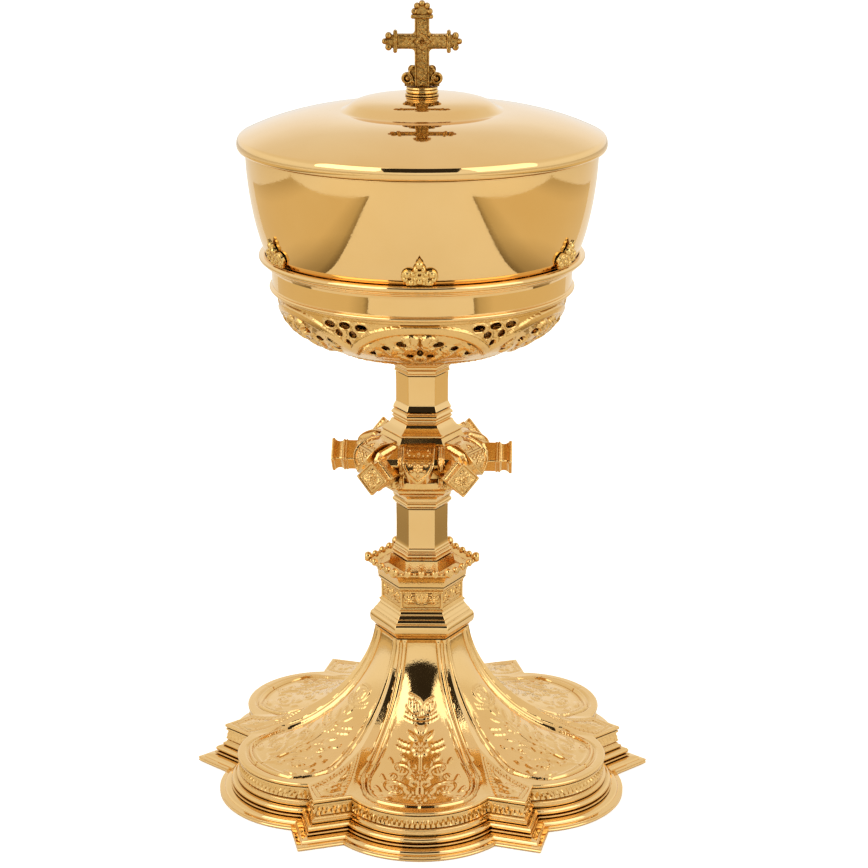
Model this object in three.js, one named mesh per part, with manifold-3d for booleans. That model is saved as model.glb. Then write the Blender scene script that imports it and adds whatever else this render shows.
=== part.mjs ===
// A covered ciborium in gilt brass: a polished cup with a lift-off lid and cross, an openwork basket
// round the cup, a hexagonal stem with a six-armed knop, and a six-lobed foot with pointed corners.
// Millimetres, +Z up, the origin under the middle of the foot. Azimuth 0 faces -Y, the front.

import * as THREE from 'three';
import { mergeVertices } from 'three/addons/utils/BufferGeometryUtils.js';
import Module from 'manifold-3d';

const wasm = await Module();
wasm.setup();

// Shared sizes
const SIDES = 6;                    // lobes, corners, arms, shields, arches and finials go by sixes
const SEAT_GAP = 0.3;               // left between pieces that are soldered or clamped together
const ROUND_STEPS = 36;             // facets round the cup, lid and basket
const TIE_ROD_RADIUS = 2.5;
const BORE_CLEARANCE = 0.4;         // between the tie rod and everything it passes through

// Foot, seen from above: six round lobes with a pointed corner between each two
const LOBE_REACH = 83.2;
const LOBE_RADIUS = 37;
const TIP_REACH = 87.9;
const JUNCTION_ANGLE = THREE.MathUtils.degToRad(21.3);
const FLANGE_THICKNESS = 2.15;
const FLANGE_STEP_HEIGHT = 1.3;
const FLANGE_STEP_INSET = 1.8;
const PLINTH_INSET = 7.5;           // from the flange's edge in to the frieze
const PLINTH_HEIGHT = 10.5;
const PLINTH_WALL = 3.4;
const TORUS_HEIGHT = 2.6;           // the large roll at the foot of the plinth
const TORUS_BULGE = 1.5;
const RIM_HEIGHT = 1.5;             // the bead round the top of the foot
const RIM_BULGE = 0.6;
const SWEEP_HEIGHT = 42.2;          // from that bead up to the stem
const SWEEP_TOP_CORNER = 18.1;
const FOOT_SHEET = 1.3;
const PANEL_DEPTH = 0.7;            // of the sunk fields on the foot
const PANEL_HALF_ANGLE = THREE.MathUtils.degToRad(20.2);
const PANEL_STEP_ANGLE = THREE.MathUtils.degToRad(1.2);
const PANEL_FOOT = 0.07;            // where the fields start and end, as shares of the sweep
const PANEL_HEAD = 0.87;
const KITE_INNER = 49;              // the small fields on the corners
const KITE_OUTER = 71.5;
const KITE_SHOULDER = 63.5;
const KITE_HALF_ANGLE = THREE.MathUtils.degToRad(6.4);

// Stem, by its corners
const COLLAR_CORNER = 20;
const COLLAR_HEIGHT = 10.1;
const DRUM_CORNER = 16.6;
const DRUM_WAIST = 1;               // how far the drum's sides draw in
const DRUM_HEIGHT = 9.7;
const DRUM_FRAME = 1.6;
const DRUM_FIELD_DEPTH = 0.5;
const CROWN_CORNER = 22.1;
const CROWN_HEIGHT = 8.8;
const CROWN_LIP_HEIGHT = 6.8;
const CRESTING_BEAD = 1.2;
const BEADS_PER_SIDE = 4;
const SHAFT_CORNER = 9.86;
const SHAFT_BASE_CORNER = 11.1;
const SHAFT_BASE_HEIGHT = 4.6;
const LOWER_SHAFT_HEIGHT = 19.7;
const UPPER_SHAFT_HEIGHT = 13.3;
const CAPITAL_CORNER = 11.3;
const CAPITAL_HEIGHT = 5.4;

// Knop
const LOWER_NECK_HEIGHT = 6.7;
const UPPER_NECK_HEIGHT = 8.7;
const NECK_CORNER = 11.2;
const NECK_EAVES_CORNER = 15;
const KNOP_TURN = THREE.MathUtils.degToRad(-2.5); // the knop sits a little off the stem's sides
const KNOP_HEIGHT = 22;
const KNOP_BLOCK_CORNER = 21.4;     // the plain block under the arms
const KNOP_RECESS_CORNER = 20.2;    // the dark hollow under the shields' points
const KNOP_ROOF_CORNER = 24.6;      // where the roof turns down
const KNOP_BREAST_STAND = 1.4;      // how far the widest part stands out from the roof's edge
const KNOP_ROOF_FALL = 3;
const KNOP_BREAST_FALL = 2.3;
const KNOP_TOP_CORNER = 14.6;
const KNOP_TOP_BLOCK = 2.1;         // the upright part over the roof
const ARM_HEIGHT = 11.5;            // from the knop's foot up to the arms' axis
const ARM_REACH = 33.9;
const ARM_ROOT = 13;
const ARM_DIAGONAL = 5.9;           // half the diagonal of the arm's square section
const ARM_FLANGE_DIAGONAL = 6.7;
const ARM_BAND_DIAGONAL = 6.4;
const SHIELD_WIDTH = 11.6;
const SHIELD_LENGTH = 16.8;         // measured straight from its top edge to its point
const SHIELD_DROOP = 6.6;           // how far its point hangs below the roof's edge
const SHIELD_THICKNESS = 1.8;
const SHIELD_BORDER = 0.9;
const SHIELD_FIELD_DEPTH = 0.6;

// Basket
const CAGE_RADIUS = 54;
const CAGE_DEPTH = 26.2;
const CAGE_ROUNDNESS = 2.3;         // 2 would be an ellipse
const CAGE_SHEET = 1.6;
const CAGE_STEPS = 24;
const CAGE_HUB_RADIUS = 13;
const CAGE_HUB_HEIGHT = 1.2;
const CAGE_RELIEF = 0.8;            // how far arches and leaves stand out of the sheet
const ARCH_RADIUS = 31.9;
const ARCH_BAND = 2.7;
const ARCH_TOP_DROP = 1.4;
const BAND_STAND = 1.2;             // how far the plain band stands out of the cage
const BAND_RADIUS = CAGE_RADIUS + BAND_STAND;
const BAND_HEIGHT = 13.6;
const BAND_SHEET = 0.9;
const BAND_LIP = 4.6;               // how far the top moulding stands out of the band
const BAND_RIM_WIDTH = 2.4;         // across the top of that moulding
const FINIAL_LOBE = 2.9;
const FINIAL_THICKNESS = 1.5;
const FINIAL_HEIGHT = 11;

// Cup
const CUP_RIM_RADIUS = 64;
const CUP_WAIST_RADIUS = BAND_RADIUS + BAND_LIP - BAND_RIM_WIDTH - SEAT_GAP;
const CUP_WAIST_LEAN = THREE.MathUtils.degToRad(26);
const CUP_SHEET = 1.2;
const CUP_RISE = 37.4;              // from the top of the basket to the rim
const CUP_BOSS_RADIUS = 6.5;
const CUP_BOSS_HEIGHT = 4.2;

// Lid
const BEAD_REACH = 67;
const BEAD_RADIUS = 1.85;
const LID_RISE = 10.2;              // from the rim up to the boss
const LID_SHEET = 1.2;
const BOSS_RADIUS = 29;
const BOSS_RISE = 5.1;
const BEZEL_CLEARANCE = 0.5;
const BEZEL_DEPTH = 7.5;
const BEZEL_SHEET = 1;

// Cross
const PLINTHLET_RADIUS = 6.2;       // the turned base under the cross
const PLINTHLET_HEIGHT = 2.6;
const STUD_RADIUS = 1.6;
const CROSS_BAR = 5.3;
const CROSS_DEPTH = 2.8;
const CROSS_SHAFT_HEIGHT = 25.6;
const CROSS_HALF_SPAN = 10.3;       // out to the ends of the arms' collars
const CROSS_CENTRE_HEIGHT = 16;
const CROSS_COLLAR_WIDTH = 7.6;
const CROSS_COLLAR_LENGTH = 1.6;
const CROSS_BALL = 1.25;
const CROSS_BORDER = 0.75;
const CROSS_FIELD_DEPTH = 0.35;
const VOLUTE_RADIUS = 2.3;

// Fasteners under the foot and in the lid
const TIE_WASHER_RADIUS = 9;
const TIE_WASHER_THICKNESS = 1.5;
const TIE_NUT_CORNER = 5.2;
const TIE_NUT_HEIGHT = 4;
const LID_NUT_CORNER = 3.6;
const LID_NUT_HEIGHT = 2.4;
const LID_WASHER_RADIUS = 5;
const LID_WASHER_THICKNESS = 1;
const THREAD_END = 2.2;             // how far a rod stands out of its nut

const SECTOR = (2 * Math.PI) / SIDES;
const HALF_SECTOR = SECTOR / 2;
const FLAT = Math.cos(HALF_SECTOR); // a hexagon's flat is this share of its corner radius
const BORE_RADIUS = TIE_ROD_RADIUS + BORE_CLEARANCE;

// Levels, each stacked on the piece below
const plinthZ = FLANGE_THICKNESS + FLANGE_STEP_HEIGHT + SEAT_GAP;
const sweepZ = plinthZ + PLINTH_HEIGHT + SEAT_GAP;
const rimTopZ = sweepZ + RIM_HEIGHT;
const footTopZ = rimTopZ + SWEEP_HEIGHT;
const collarZ = footTopZ + SEAT_GAP;
const drumZ = collarZ + COLLAR_HEIGHT + SEAT_GAP;
const crownZ = drumZ + DRUM_HEIGHT + SEAT_GAP;
const lowerShaftZ = crownZ + CROWN_HEIGHT + SEAT_GAP;
const lowerNeckZ = lowerShaftZ + LOWER_SHAFT_HEIGHT + SEAT_GAP;
const knopZ = lowerNeckZ + LOWER_NECK_HEIGHT + SEAT_GAP;
const upperNeckZ = knopZ + KNOP_HEIGHT + SEAT_GAP;
const upperShaftZ = upperNeckZ + UPPER_NECK_HEIGHT + SEAT_GAP;
const capitalZ = upperShaftZ + UPPER_SHAFT_HEIGHT + SEAT_GAP;
const cageZ = capitalZ + CAPITAL_HEIGHT + SEAT_GAP;
const cageTopZ = cageZ + CAGE_DEPTH;
const bandZ = cageTopZ + SEAT_GAP;
const bandTopZ = bandZ + BAND_HEIGHT;
const cupRimZ = bandTopZ + CUP_RISE;
const hubHeight = CAGE_HUB_HEIGHT + CAGE_RELIEF + CAGE_SHEET;
const bossZ = cageZ + hubHeight + SEAT_GAP;
const cupFootZ = bossZ + CUP_BOSS_HEIGHT + SEAT_GAP;
const beadZ = cupRimZ + SEAT_GAP + BEAD_RADIUS;
const lidEdgeZ = beadZ + BEAD_RADIUS;
const lidTopZ = lidEdgeZ + LID_RISE + BOSS_RISE;
const plinthletZ = lidTopZ + SEAT_GAP;
const crossZ = plinthletZ + PLINTHLET_HEIGHT + SEAT_GAP;

// Finishes
const gilt = (color, roughness) => new THREE.MeshStandardMaterial({ color, roughness, metalness: 1 });
const polished = () => gilt(0xe6be7e, 0.12);
const cast = () => gilt(0xd9a95c, 0.32);
const antique = () => gilt(0xb98a45, 0.42);
const steel = () => new THREE.MeshStandardMaterial({ color: 0xb9b7b0, roughness: 0.35, metalness: 1 });

// Turns a closed geometry into a solid, with its faces pointing out
function solidFrom(geometry) {
  const bare = geometry.clone();
  bare.deleteAttribute('normal');
  bare.deleteAttribute('uv');
  const welded = mergeVertices(bare, 1e-4);
  const points = welded.attributes.position;
  const corner = [new THREE.Vector3(), new THREE.Vector3(), new THREE.Vector3()];
  const faces = [];
  let volume = 0;
  for (let i = 0; i < welded.index.count; i += 3) {
    const face = [0, 1, 2].map((k) => welded.index.getX(i + k));
    if (new Set(face).size < 3) continue;
    face.forEach((vertex, k) => corner[k].fromBufferAttribute(points, vertex));
    volume += corner[0].dot(corner[1].cross(corner[2]));
    faces.push(face);
  }
  const triVerts = new Uint32Array((volume < 0 ? faces.map((face) => face.reverse()) : faces).flat());
  const vertProperties = new Float32Array(points.array);
  return new wasm.Manifold(new wasm.Mesh({ numProp: 3, vertProperties, triVerts }));
}

function geometryFrom(solid) {
  const result = solid.getMesh();
  const geometry = new THREE.BufferGeometry();
  geometry.setAttribute('position', new THREE.BufferAttribute(result.vertProperties, 3));
  geometry.setIndex(new THREE.BufferAttribute(result.triVerts, 1));
  return geometry;
}

const joined = (solids) => solids.reduce((whole, solid) => whole.add(solid));
const without = (solid, cutters) => cutters.reduce((rest, cutter) => rest.subtract(cutter), solid);

// Repeats a geometry round the axis, once for each of the six sides
function roundTheAxis(geometry, firstAzimuth = 0) {
  return [...Array(SIDES).keys()].map((k) => {
    return solidFrom(geometry.clone().rotateZ(firstAzimuth + k * SECTOR));
  });
}

const at = (radius, azimuth, z) => {
  return new THREE.Vector3(radius * Math.sin(azimuth), -radius * Math.cos(azimuth), z);
};

// A closed body through rings of points. A looped one joins its last ring to its first.
function loft(rings, looped = false) {
  const count = rings[0].length;
  const index = [];
  const levels = looped ? rings.length : rings.length - 1;
  for (let level = 0; level < levels; level += 1) {
    const next = (level + 1) % rings.length;
    for (let i = 0; i < count; i += 1) {
      const j = (i + 1) % count;
      const a = level * count;
      const b = next * count;
      index.push(a + i, a + j, b + j, a + i, b + j, b + i);
    }
  }
  if (!looped) {
    const top = (rings.length - 1) * count;
    THREE.ShapeUtils.triangulateShape(rings[0].map(flatten), []).forEach(([i, j, k]) => index.push(k, j, i));
    THREE.ShapeUtils.triangulateShape(rings.at(-1).map(flatten), []).forEach(([i, j, k]) => {
      index.push(top + i, top + j, top + k);
    });
  }
  const geometry = new THREE.BufferGeometry().setFromPoints(rings.flat());
  geometry.setIndex(index);
  return geometry;
}

const flatten = (point) => new THREE.Vector2(point.x, point.y);

// Mouldings: each gives [radius, height] pairs along a profile
const roll = (radius, z, height, bulge, steps = 4) => [...Array(steps + 1).keys()].map((i) => {
  const turn = (Math.PI * i) / steps;
  return [radius + bulge * Math.sin(turn), z + (height * (1 - Math.cos(turn))) / 2];
});
const cove = ([r0, z0], [r1, z1], steps = 3) => [...Array(steps + 1).keys()].map((i) => {
  const turn = ((Math.PI / 2) * i) / steps;
  return [r0 + (r1 - r0) * (1 - Math.cos(turn)), z0 + (z1 - z0) * Math.sin(turn)];
});

// A hexagonal moulding from a profile of corner radii, with its corners between the sides
const hexRing = ([corner, z]) => [...Array(SIDES).keys()].map((k) => {
  return at(corner, HALF_SECTOR + k * SECTOR, z);
});
const hexagonal = (profile) => solidFrom(loft(profile.map(hexRing)));

// A round piece from a profile that starts and ends on the axis, or closes on itself
function turned(profile, steps = ROUND_STEPS) {
  const points = profile.map(([radius, z]) => new THREE.Vector2(radius, z));
  return solidFrom(new THREE.LatheGeometry(points, steps).rotateX(Math.PI / 2));
}
const tube = (inner, outer, z0, z1, steps) => {
  return turned([[inner, z0], [outer, z0], [outer, z1], [inner, z1], [inner, z0]], steps);
};
const disc = (radius, z0, z1, steps) => turned([[0, z0], [radius, z0], [radius, z1], [0, z1]], steps);
const bored = (solid, radius, height) => solid.subtract(disc(radius, -1, height + 1, 16));

// An outline drawn on the front, its x across and its y up, pushed out from one radius to another
function pushedOut(shape, inner, outer, curveSegments = 6) {
  const settings = { depth: outer - inner, bevelEnabled: false, curveSegments };
  return new THREE.ExtrudeGeometry(shape, settings).rotateX(Math.PI / 2).translate(0, -inner, 0);
}
const roundShape = (x, y, radius) => new THREE.Shape().absarc(x, y, radius, 0, 2 * Math.PI);
const polygon = (corners) => new THREE.Shape(corners.map(([x, y]) => new THREE.Vector2(x, y)));

// The foot's outline, moved in from the flange's edge. Each side has its arc and then its tip.
const ARC_STEPS = 8;
const LOBE_CENTRE = LOBE_REACH - LOBE_RADIUS;
function footOutline(inset, z) {
  const reach = LOBE_CENTRE * Math.cos(JUNCTION_ANGLE);
  const across = LOBE_CENTRE * Math.sin(JUNCTION_ANGLE);
  const junction = at(reach + Math.sqrt(LOBE_RADIUS ** 2 - across ** 2), JUNCTION_ANGLE, 0);
  const tip = at(TIP_REACH, HALF_SECTOR, 0);
  const along = tip.clone().sub(junction).normalize();
  const outward = new THREE.Vector3(along.y, -along.x, 0);
  const centre = at(LOBE_CENTRE, 0, 0);
  const offset = outward.dot(junction) - inset - outward.dot(centre);
  const radius = LOBE_RADIUS - inset;
  const end = outward.clone().multiplyScalar(offset);
  end.addScaledVector(along, Math.sqrt(radius ** 2 - offset ** 2));
  const endTurn = Math.atan2(end.x, -end.y);
  const tipReach = (outward.dot(junction) - inset) / outward.dot(at(1, HALF_SECTOR, 0));
  const side = [...Array(ARC_STEPS + 1).keys()].map((i) => {
    return at(radius, endTurn * ((2 * i) / ARC_STEPS - 1), z).add(centre);
  });
  side.push(at(tipReach, HALF_SECTOR, z));
  const up = new THREE.Vector3(0, 0, 1);
  return [...Array(SIDES).keys()].flatMap((k) => {
    return side.map((point) => point.clone().applyAxisAngle(up, k * SECTOR));
  });
}

// The foot's swept top: rings that open from a hexagon to the lobed rim along one curve
const SWEEP_ROWS = 8;
const sweepCurve = new THREE.CubicBezierCurve(
  new THREE.Vector2(1, 0),
  new THREE.Vector2(0.35, 0),
  new THREE.Vector2(0.03, 0.62),
  new THREE.Vector2(0, 1),
);
const rimInset = PLINTH_INSET + 0.2;
const panelEdge = [PANEL_HALF_ANGLE + PANEL_STEP_ANGLE / 2, PANEL_HALF_ANGLE - PANEL_STEP_ANGLE / 2];
const halfSide = [...panelEdge, PANEL_HALF_ANGLE * 0.52];
const sweepAzimuths = [...Array(SIDES).keys()].flatMap((k) => {
  const side = [...halfSide.map((turn) => -turn), 0, ...halfSide.toReversed(), HALF_SECTOR];
  return side.map((turn) => k * SECTOR + turn);
});

// How far the rim reaches at an azimuth
const rimPoints = footOutline(rimInset, 0);
function rimReach(azimuth) {
  const way = at(1, azimuth, 0);
  for (let i = 0; i < rimPoints.length; i += 1) {
    const a = rimPoints[i];
    const b = rimPoints[(i + 1) % rimPoints.length];
    const fromA = way.x * a.y - way.y * a.x;
    const fromB = way.x * b.y - way.y * b.x;
    const share = fromA / (fromA - fromB);
    if (a.dot(way) > 0 && share >= -1e-9 && share <= 1) return a.clone().lerp(b, share).dot(way);
  }
  return TIP_REACH;
}
const rimReaches = sweepAzimuths.map(rimReach);

const sweepAzimuthRing = (radiusAt, z) => sweepAzimuths.map((azimuth, i) => at(radiusAt(i, azimuth), azimuth, z));

// A ring of the sweep at one share of its curve, set in by an inset and, in the fields, by a recess
function sweepRing(t, inset, recess = 0) {
  const [open, height] = sweepCurve.getPoint(t).toArray();
  const slope = sweepCurve.getTangent(t);
  const run = TIP_REACH - rimInset - SWEEP_TOP_CORNER;
  const lean = new THREE.Vector2(slope.y * SWEEP_HEIGHT, -slope.x * run).normalize();
  return sweepAzimuths.map((azimuth, i) => {
    const fromFlat = azimuth - SECTOR * Math.round(azimuth / SECTOR);
    const hexagon = (SWEEP_TOP_CORNER * FLAT) / Math.cos(fromFlat);
    const inField = Math.abs(fromFlat) < PANEL_HALF_ANGLE;
    const depth = inset + (inField ? recess : 0);
    const radius = hexagon + (rimReaches[i] - hexagon) * open - depth * lean.x;
    return at(radius, azimuth, rimTopZ + height * SWEEP_HEIGHT - depth * lean.y);
  });
}

function sweepRows(inset, fieldDepth = 0) {
  const share = (i) => PANEL_FOOT + ((PANEL_HEAD - PANEL_FOOT) * i) / (SWEEP_ROWS - 2);
  const fields = [...Array(SWEEP_ROWS - 1).keys()].map((i) => {
    const nudge = i === 0 ? 0.012 : i === SWEEP_ROWS - 2 ? -0.012 : 0;
    return sweepRing(share(i) + nudge, inset, fieldDepth);
  });
  const edges = fieldDepth ? [sweepRing(PANEL_FOOT, inset)] : [];
  const head = fieldDepth ? [sweepRing(PANEL_HEAD, inset)] : [];
  return [sweepRing(0, inset), ...edges, ...fields, ...head, sweepRing(1, inset)];
}

function footFlange() {
  const outer = [
    [0, 0],
    [0, FLANGE_THICKNESS],
    [FLANGE_STEP_INSET, FLANGE_THICKNESS],
    [FLANGE_STEP_INSET + 0.2, FLANGE_THICKNESS + FLANGE_STEP_HEIGHT / 2],
    [FLANGE_STEP_INSET + 1.6, FLANGE_THICKNESS + FLANGE_STEP_HEIGHT],
  ];
  const innerInset = PLINTH_INSET + PLINTH_WALL;
  const section = [...outer, [innerInset, FLANGE_THICKNESS + FLANGE_STEP_HEIGHT], [innerInset, 0]];
  return solidFrom(loft(section.map(([inset, z]) => footOutline(inset, z)), true));
}

function footPlinth() {
  const ledge = 0.9;
  const friezeZ = TORUS_HEIGHT + 2.2;
  const outer = [
    [-PLINTH_INSET + 2.6, 0],
    ...roll(-PLINTH_INSET + 1.4, 0.4, TORUS_HEIGHT, TORUS_BULGE, 3),
    [-PLINTH_INSET + ledge, TORUS_HEIGHT + 1],
    [-PLINTH_INSET + ledge, friezeZ - 0.4],
    [-PLINTH_INSET, friezeZ],
    [-PLINTH_INSET, PLINTH_HEIGHT],
  ];
  const inner = -PLINTH_INSET - PLINTH_WALL;
  const section = [...outer, [inner, PLINTH_HEIGHT], [inner, 0]];
  return solidFrom(loft(section.map(([outset, z]) => footOutline(-outset, z)), true));
}

// The small sunk kites on the pointed corners
function cornerKites() {
  const kite = new THREE.Shape([
    at(KITE_INNER, HALF_SECTOR, 0),
    at(KITE_SHOULDER, HALF_SECTOR - KITE_HALF_ANGLE, 0),
    at(KITE_OUTER, HALF_SECTOR, 0),
    at(KITE_SHOULDER, HALF_SECTOR + KITE_HALF_ANGLE, 0),
  ].map(flatten));
  const settings = { depth: SWEEP_HEIGHT / 2, bevelEnabled: false };
  const raised = new THREE.ExtrudeGeometry(kite, settings).translate(0, 0, sweepZ);
  const core = solidFrom(loft([sweepRing(0, 0).map((point) => point.setZ(sweepZ - 1)), ...sweepRows(PANEL_DEPTH)]));
  return roundTheAxis(raised).map((field) => field.subtract(core));
}

function footSweep() {
  const ceilingZ = footTopZ - 2 * FOOT_SHEET;
  const innerRows = sweepRows(FOOT_SHEET + PANEL_DEPTH).slice(1).filter((ring) => ring[0].z < ceilingZ - 1);
  innerRows.flat().forEach((point) => point.setZ(Math.max(point.z, sweepZ)));
  const rimRing = (outset, z) => sweepAzimuthRing((i) => rimReaches[i] + outset, z);
  const section = [
    rimRing(0, sweepZ),
    rimRing(RIM_BULGE, sweepZ + RIM_HEIGHT / 3),
    rimRing(RIM_BULGE, sweepZ + (RIM_HEIGHT * 2) / 3),
    ...sweepRows(0, PANEL_DEPTH),
    sweepAzimuthRing(() => BORE_RADIUS, footTopZ),
    sweepAzimuthRing(() => BORE_RADIUS, ceilingZ),
    innerRows.at(-1).map((point) => point.clone().setZ(ceilingZ)),
    ...innerRows.reverse(),
    rimRing(-PLINTH_WALL, sweepZ),
  ];
  return without(solidFrom(loft(section, true)), cornerKites());
}

function stemCollar() {
  const neck = DRUM_CORNER - 0.7;
  const rollZ = 2.6;
  const profile = [
    [SWEEP_TOP_CORNER, 0],
    [SWEEP_TOP_CORNER + 1.5, 1.6],
    [COLLAR_CORNER - 0.5, 2.4],
    ...roll(COLLAR_CORNER - 0.7, rollZ, 2.8, 0.7),
    [COLLAR_CORNER - 1.3, 5.8],
    ...cove([COLLAR_CORNER - 1.5, 6.6], [neck + 0.6, COLLAR_HEIGHT - 1.4]),
    [neck, COLLAR_HEIGHT - 1.2],
    [neck, COLLAR_HEIGHT],
  ];
  return bored(hexagonal(profile), BORE_RADIUS, COLLAR_HEIGHT);
}

// A palmette for the drum's fields, its tips and the valleys between them on two radii
function palmette(size) {
  const outline = [-75, -50, -25, 0, 25, 50, 75].map((degrees, i) => {
    const turn = THREE.MathUtils.degToRad(degrees);
    const reach = i % 2 ? size * 1.9 - Math.abs(turn) * 0.6 : size * 1.05;
    return [reach * Math.sin(turn), reach * Math.cos(turn)];
  });
  return polygon([[-size * 0.5, 0], ...outline, [size * 0.5, 0]]);
}

function friezeDrum() {
  const waist = DRUM_CORNER - DRUM_WAIST;
  const profile = [
    [DRUM_CORNER - 0.3, 0],
    [waist + 0.3, DRUM_HEIGHT * 0.18],
    [waist, DRUM_HEIGHT * 0.42],
    [waist + 0.25, DRUM_HEIGHT * 0.7],
    [DRUM_CORNER, DRUM_HEIGHT * 0.92],
    [DRUM_CORNER, DRUM_HEIGHT],
  ];
  const flat = waist * FLAT;
  const half = waist / 2 - DRUM_FRAME;
  const top = DRUM_HEIGHT - DRUM_FRAME - 0.6;
  const field = polygon([[-half, DRUM_FRAME], [half, DRUM_FRAME], [half, top], [-half, top]]);
  const cutter = pushedOut(field, flat - DRUM_FIELD_DEPTH, flat + 5);
  const size = (top - DRUM_FRAME) * 0.46;
  const fan = pushedOut(palmette(size), flat - DRUM_FIELD_DEPTH - 0.3, flat - 0.05);
  const fans = roundTheAxis(fan.translate(0, 0, DRUM_FRAME + 0.5));
  const body = without(hexagonal(profile), roundTheAxis(cutter));
  return bored(joined([body, ...fans]), BORE_RADIUS, DRUM_HEIGHT);
}

function galleryCrown() {
  const root = DRUM_CORNER + 0.3;
  const profile = [
    [root, 0],
    [root, 0.8],
    ...cove([root + 0.2, 1.2], [CROWN_CORNER - 0.6, CROWN_LIP_HEIGHT - 0.8]).map(([r, z]) => [r, z]),
    [CROWN_CORNER, CROWN_LIP_HEIGHT],
    [CROWN_CORNER - 1.8, CROWN_LIP_HEIGHT + 0.2],
    [CROWN_CORNER - 4.2, CROWN_LIP_HEIGHT - 1],
    [SHAFT_BASE_CORNER + 0.6, CROWN_HEIGHT],
  ];
  const beadCorner = CROWN_CORNER - CRESTING_BEAD * 0.7;
  const beadZ = CROWN_LIP_HEIGHT + CRESTING_BEAD * 0.35;
  const from = at(beadCorner, -HALF_SECTOR, beadZ);
  const to = at(beadCorner, HALF_SECTOR, beadZ);
  const beads = [...Array(BEADS_PER_SIDE).keys()].flatMap((i) => {
    const place = from.clone().lerp(to, i / BEADS_PER_SIDE);
    const bead = new THREE.IcosahedronGeometry(CRESTING_BEAD, 0);
    return roundTheAxis(bead.translate(place.x, place.y, place.z));
  });
  return bored(joined([hexagonal(profile), ...beads]), BORE_RADIUS, CROWN_HEIGHT);
}

function lowerShaft() {
  const profile = [
    [SHAFT_BASE_CORNER, 0],
    ...roll(SHAFT_BASE_CORNER - 0.4, 0.4, 1.5, 0.5),
    [SHAFT_BASE_CORNER - 0.5, 2.3],
    [SHAFT_BASE_CORNER - 0.1, 2.5],
    [SHAFT_BASE_CORNER - 0.1, 3.2],
    [SHAFT_CORNER, SHAFT_BASE_HEIGHT],
    [SHAFT_CORNER - 0.1, (SHAFT_BASE_HEIGHT + LOWER_SHAFT_HEIGHT) / 2],
    [SHAFT_CORNER, LOWER_SHAFT_HEIGHT],
  ];
  return bored(hexagonal(profile), BORE_RADIUS, LOWER_SHAFT_HEIGHT);
}

function lowerNeck() {
  const profile = [
    [SHAFT_CORNER + 0.1, 0],
    [NECK_CORNER - 0.6, 0.9],
    ...roll(NECK_CORNER - 0.6, 1.2, 1.8, 0.6),
    ...cove([NECK_CORNER - 0.4, 3.3], [NECK_EAVES_CORNER - 1.6, LOWER_NECK_HEIGHT - 0.4]),
    [NECK_EAVES_CORNER - 1.2, LOWER_NECK_HEIGHT],
  ];
  return bored(hexagonal(profile), BORE_RADIUS, LOWER_NECK_HEIGHT);
}

function upperNeck() {
  const top = UPPER_NECK_HEIGHT;
  const profile = [
    [NECK_EAVES_CORNER, 0],
    [NECK_EAVES_CORNER, 0.7],
    [NECK_CORNER + 0.3, top - 5.6],
    [NECK_CORNER - 0.6, top - 4.7],
    ...roll(NECK_CORNER - 0.5, top - 4.4, 1.2, 0.5, 3),
    [NECK_CORNER - 0.7, top - 2.8],
    ...roll(NECK_CORNER - 0.6, top - 2.6, 1.3, 0.5, 3),
    [SHAFT_CORNER + 0.2, top - 0.7],
    [SHAFT_CORNER, top],
  ];
  return bored(hexagonal(profile), BORE_RADIUS, UPPER_NECK_HEIGHT);
}

// One arm of the knop, its axis along +Z, of a square section that stands on a corner
function armBody(spare) {
  const neck = ARM_REACH - 3.9;
  const profile = [
    [ARM_DIAGONAL, ARM_ROOT],
    [ARM_DIAGONAL, neck - 3.6],
    [ARM_BAND_DIAGONAL, neck - 3.2],
    [ARM_BAND_DIAGONAL, neck - 1.6],
    [ARM_DIAGONAL, neck - 1.2],
    [ARM_DIAGONAL - 0.2, neck],
    [ARM_DIAGONAL + 0.2, ARM_REACH - 2.2],
    [ARM_FLANGE_DIAGONAL, ARM_REACH - 1.2],
    [ARM_FLANGE_DIAGONAL, ARM_REACH],
    [ARM_FLANGE_DIAGONAL - 1.2, ARM_REACH],
    [ARM_FLANGE_DIAGONAL - 1.5, ARM_REACH - 0.5],
  ];
  const rings = profile.map(([diagonal, z]) => [0, 1, 2, 3].map((k) => {
    const turn = (k * Math.PI) / 2;
    const reach = diagonal + spare;
    return new THREE.Vector3(reach * Math.cos(turn), reach * Math.sin(turn), z);
  }));
  return loft(rings).rotateX(Math.PI / 2);
}

const KNOP_BREAST_CORNER = KNOP_ROOF_CORNER + KNOP_BREAST_STAND;

// The roof's line on a flat of the knop, as (distance out, height), from the neck to its edge
const roofTop = new THREE.Vector2(KNOP_TOP_CORNER * FLAT, KNOP_HEIGHT - KNOP_TOP_BLOCK);
const roofEdge = new THREE.Vector2(KNOP_ROOF_CORNER * FLAT, roofTop.y - KNOP_ROOF_FALL);

function knopBody() {
  const profile = [
    [NECK_EAVES_CORNER - 0.4, 0],
    [NECK_EAVES_CORNER + 1.2, 0.4],
    ...cove([KNOP_BLOCK_CORNER - 2.6, 3], [KNOP_BLOCK_CORNER, 4.8], 2),
    [KNOP_BLOCK_CORNER, 7.3],
    [KNOP_RECESS_CORNER, 7.9],
    [KNOP_RECESS_CORNER, 10.2],
    [KNOP_BREAST_CORNER - 0.4, roofEdge.y - KNOP_BREAST_FALL - 1.4],
    [KNOP_BREAST_CORNER, roofEdge.y - KNOP_BREAST_FALL],
    [KNOP_ROOF_CORNER, roofEdge.y],
    [KNOP_TOP_CORNER, roofTop.y],
    [KNOP_TOP_CORNER, KNOP_HEIGHT],
  ];
  const socket = armBody(SEAT_GAP * 1.5).translate(0, SEAT_GAP, ARM_HEIGHT);
  const body = without(hexagonal(profile), roundTheAxis(socket, HALF_SECTOR));
  return bored(body, BORE_RADIUS, KNOP_HEIGHT);
}

const knopArm = () => solidFrom(armBody(0));

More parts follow.
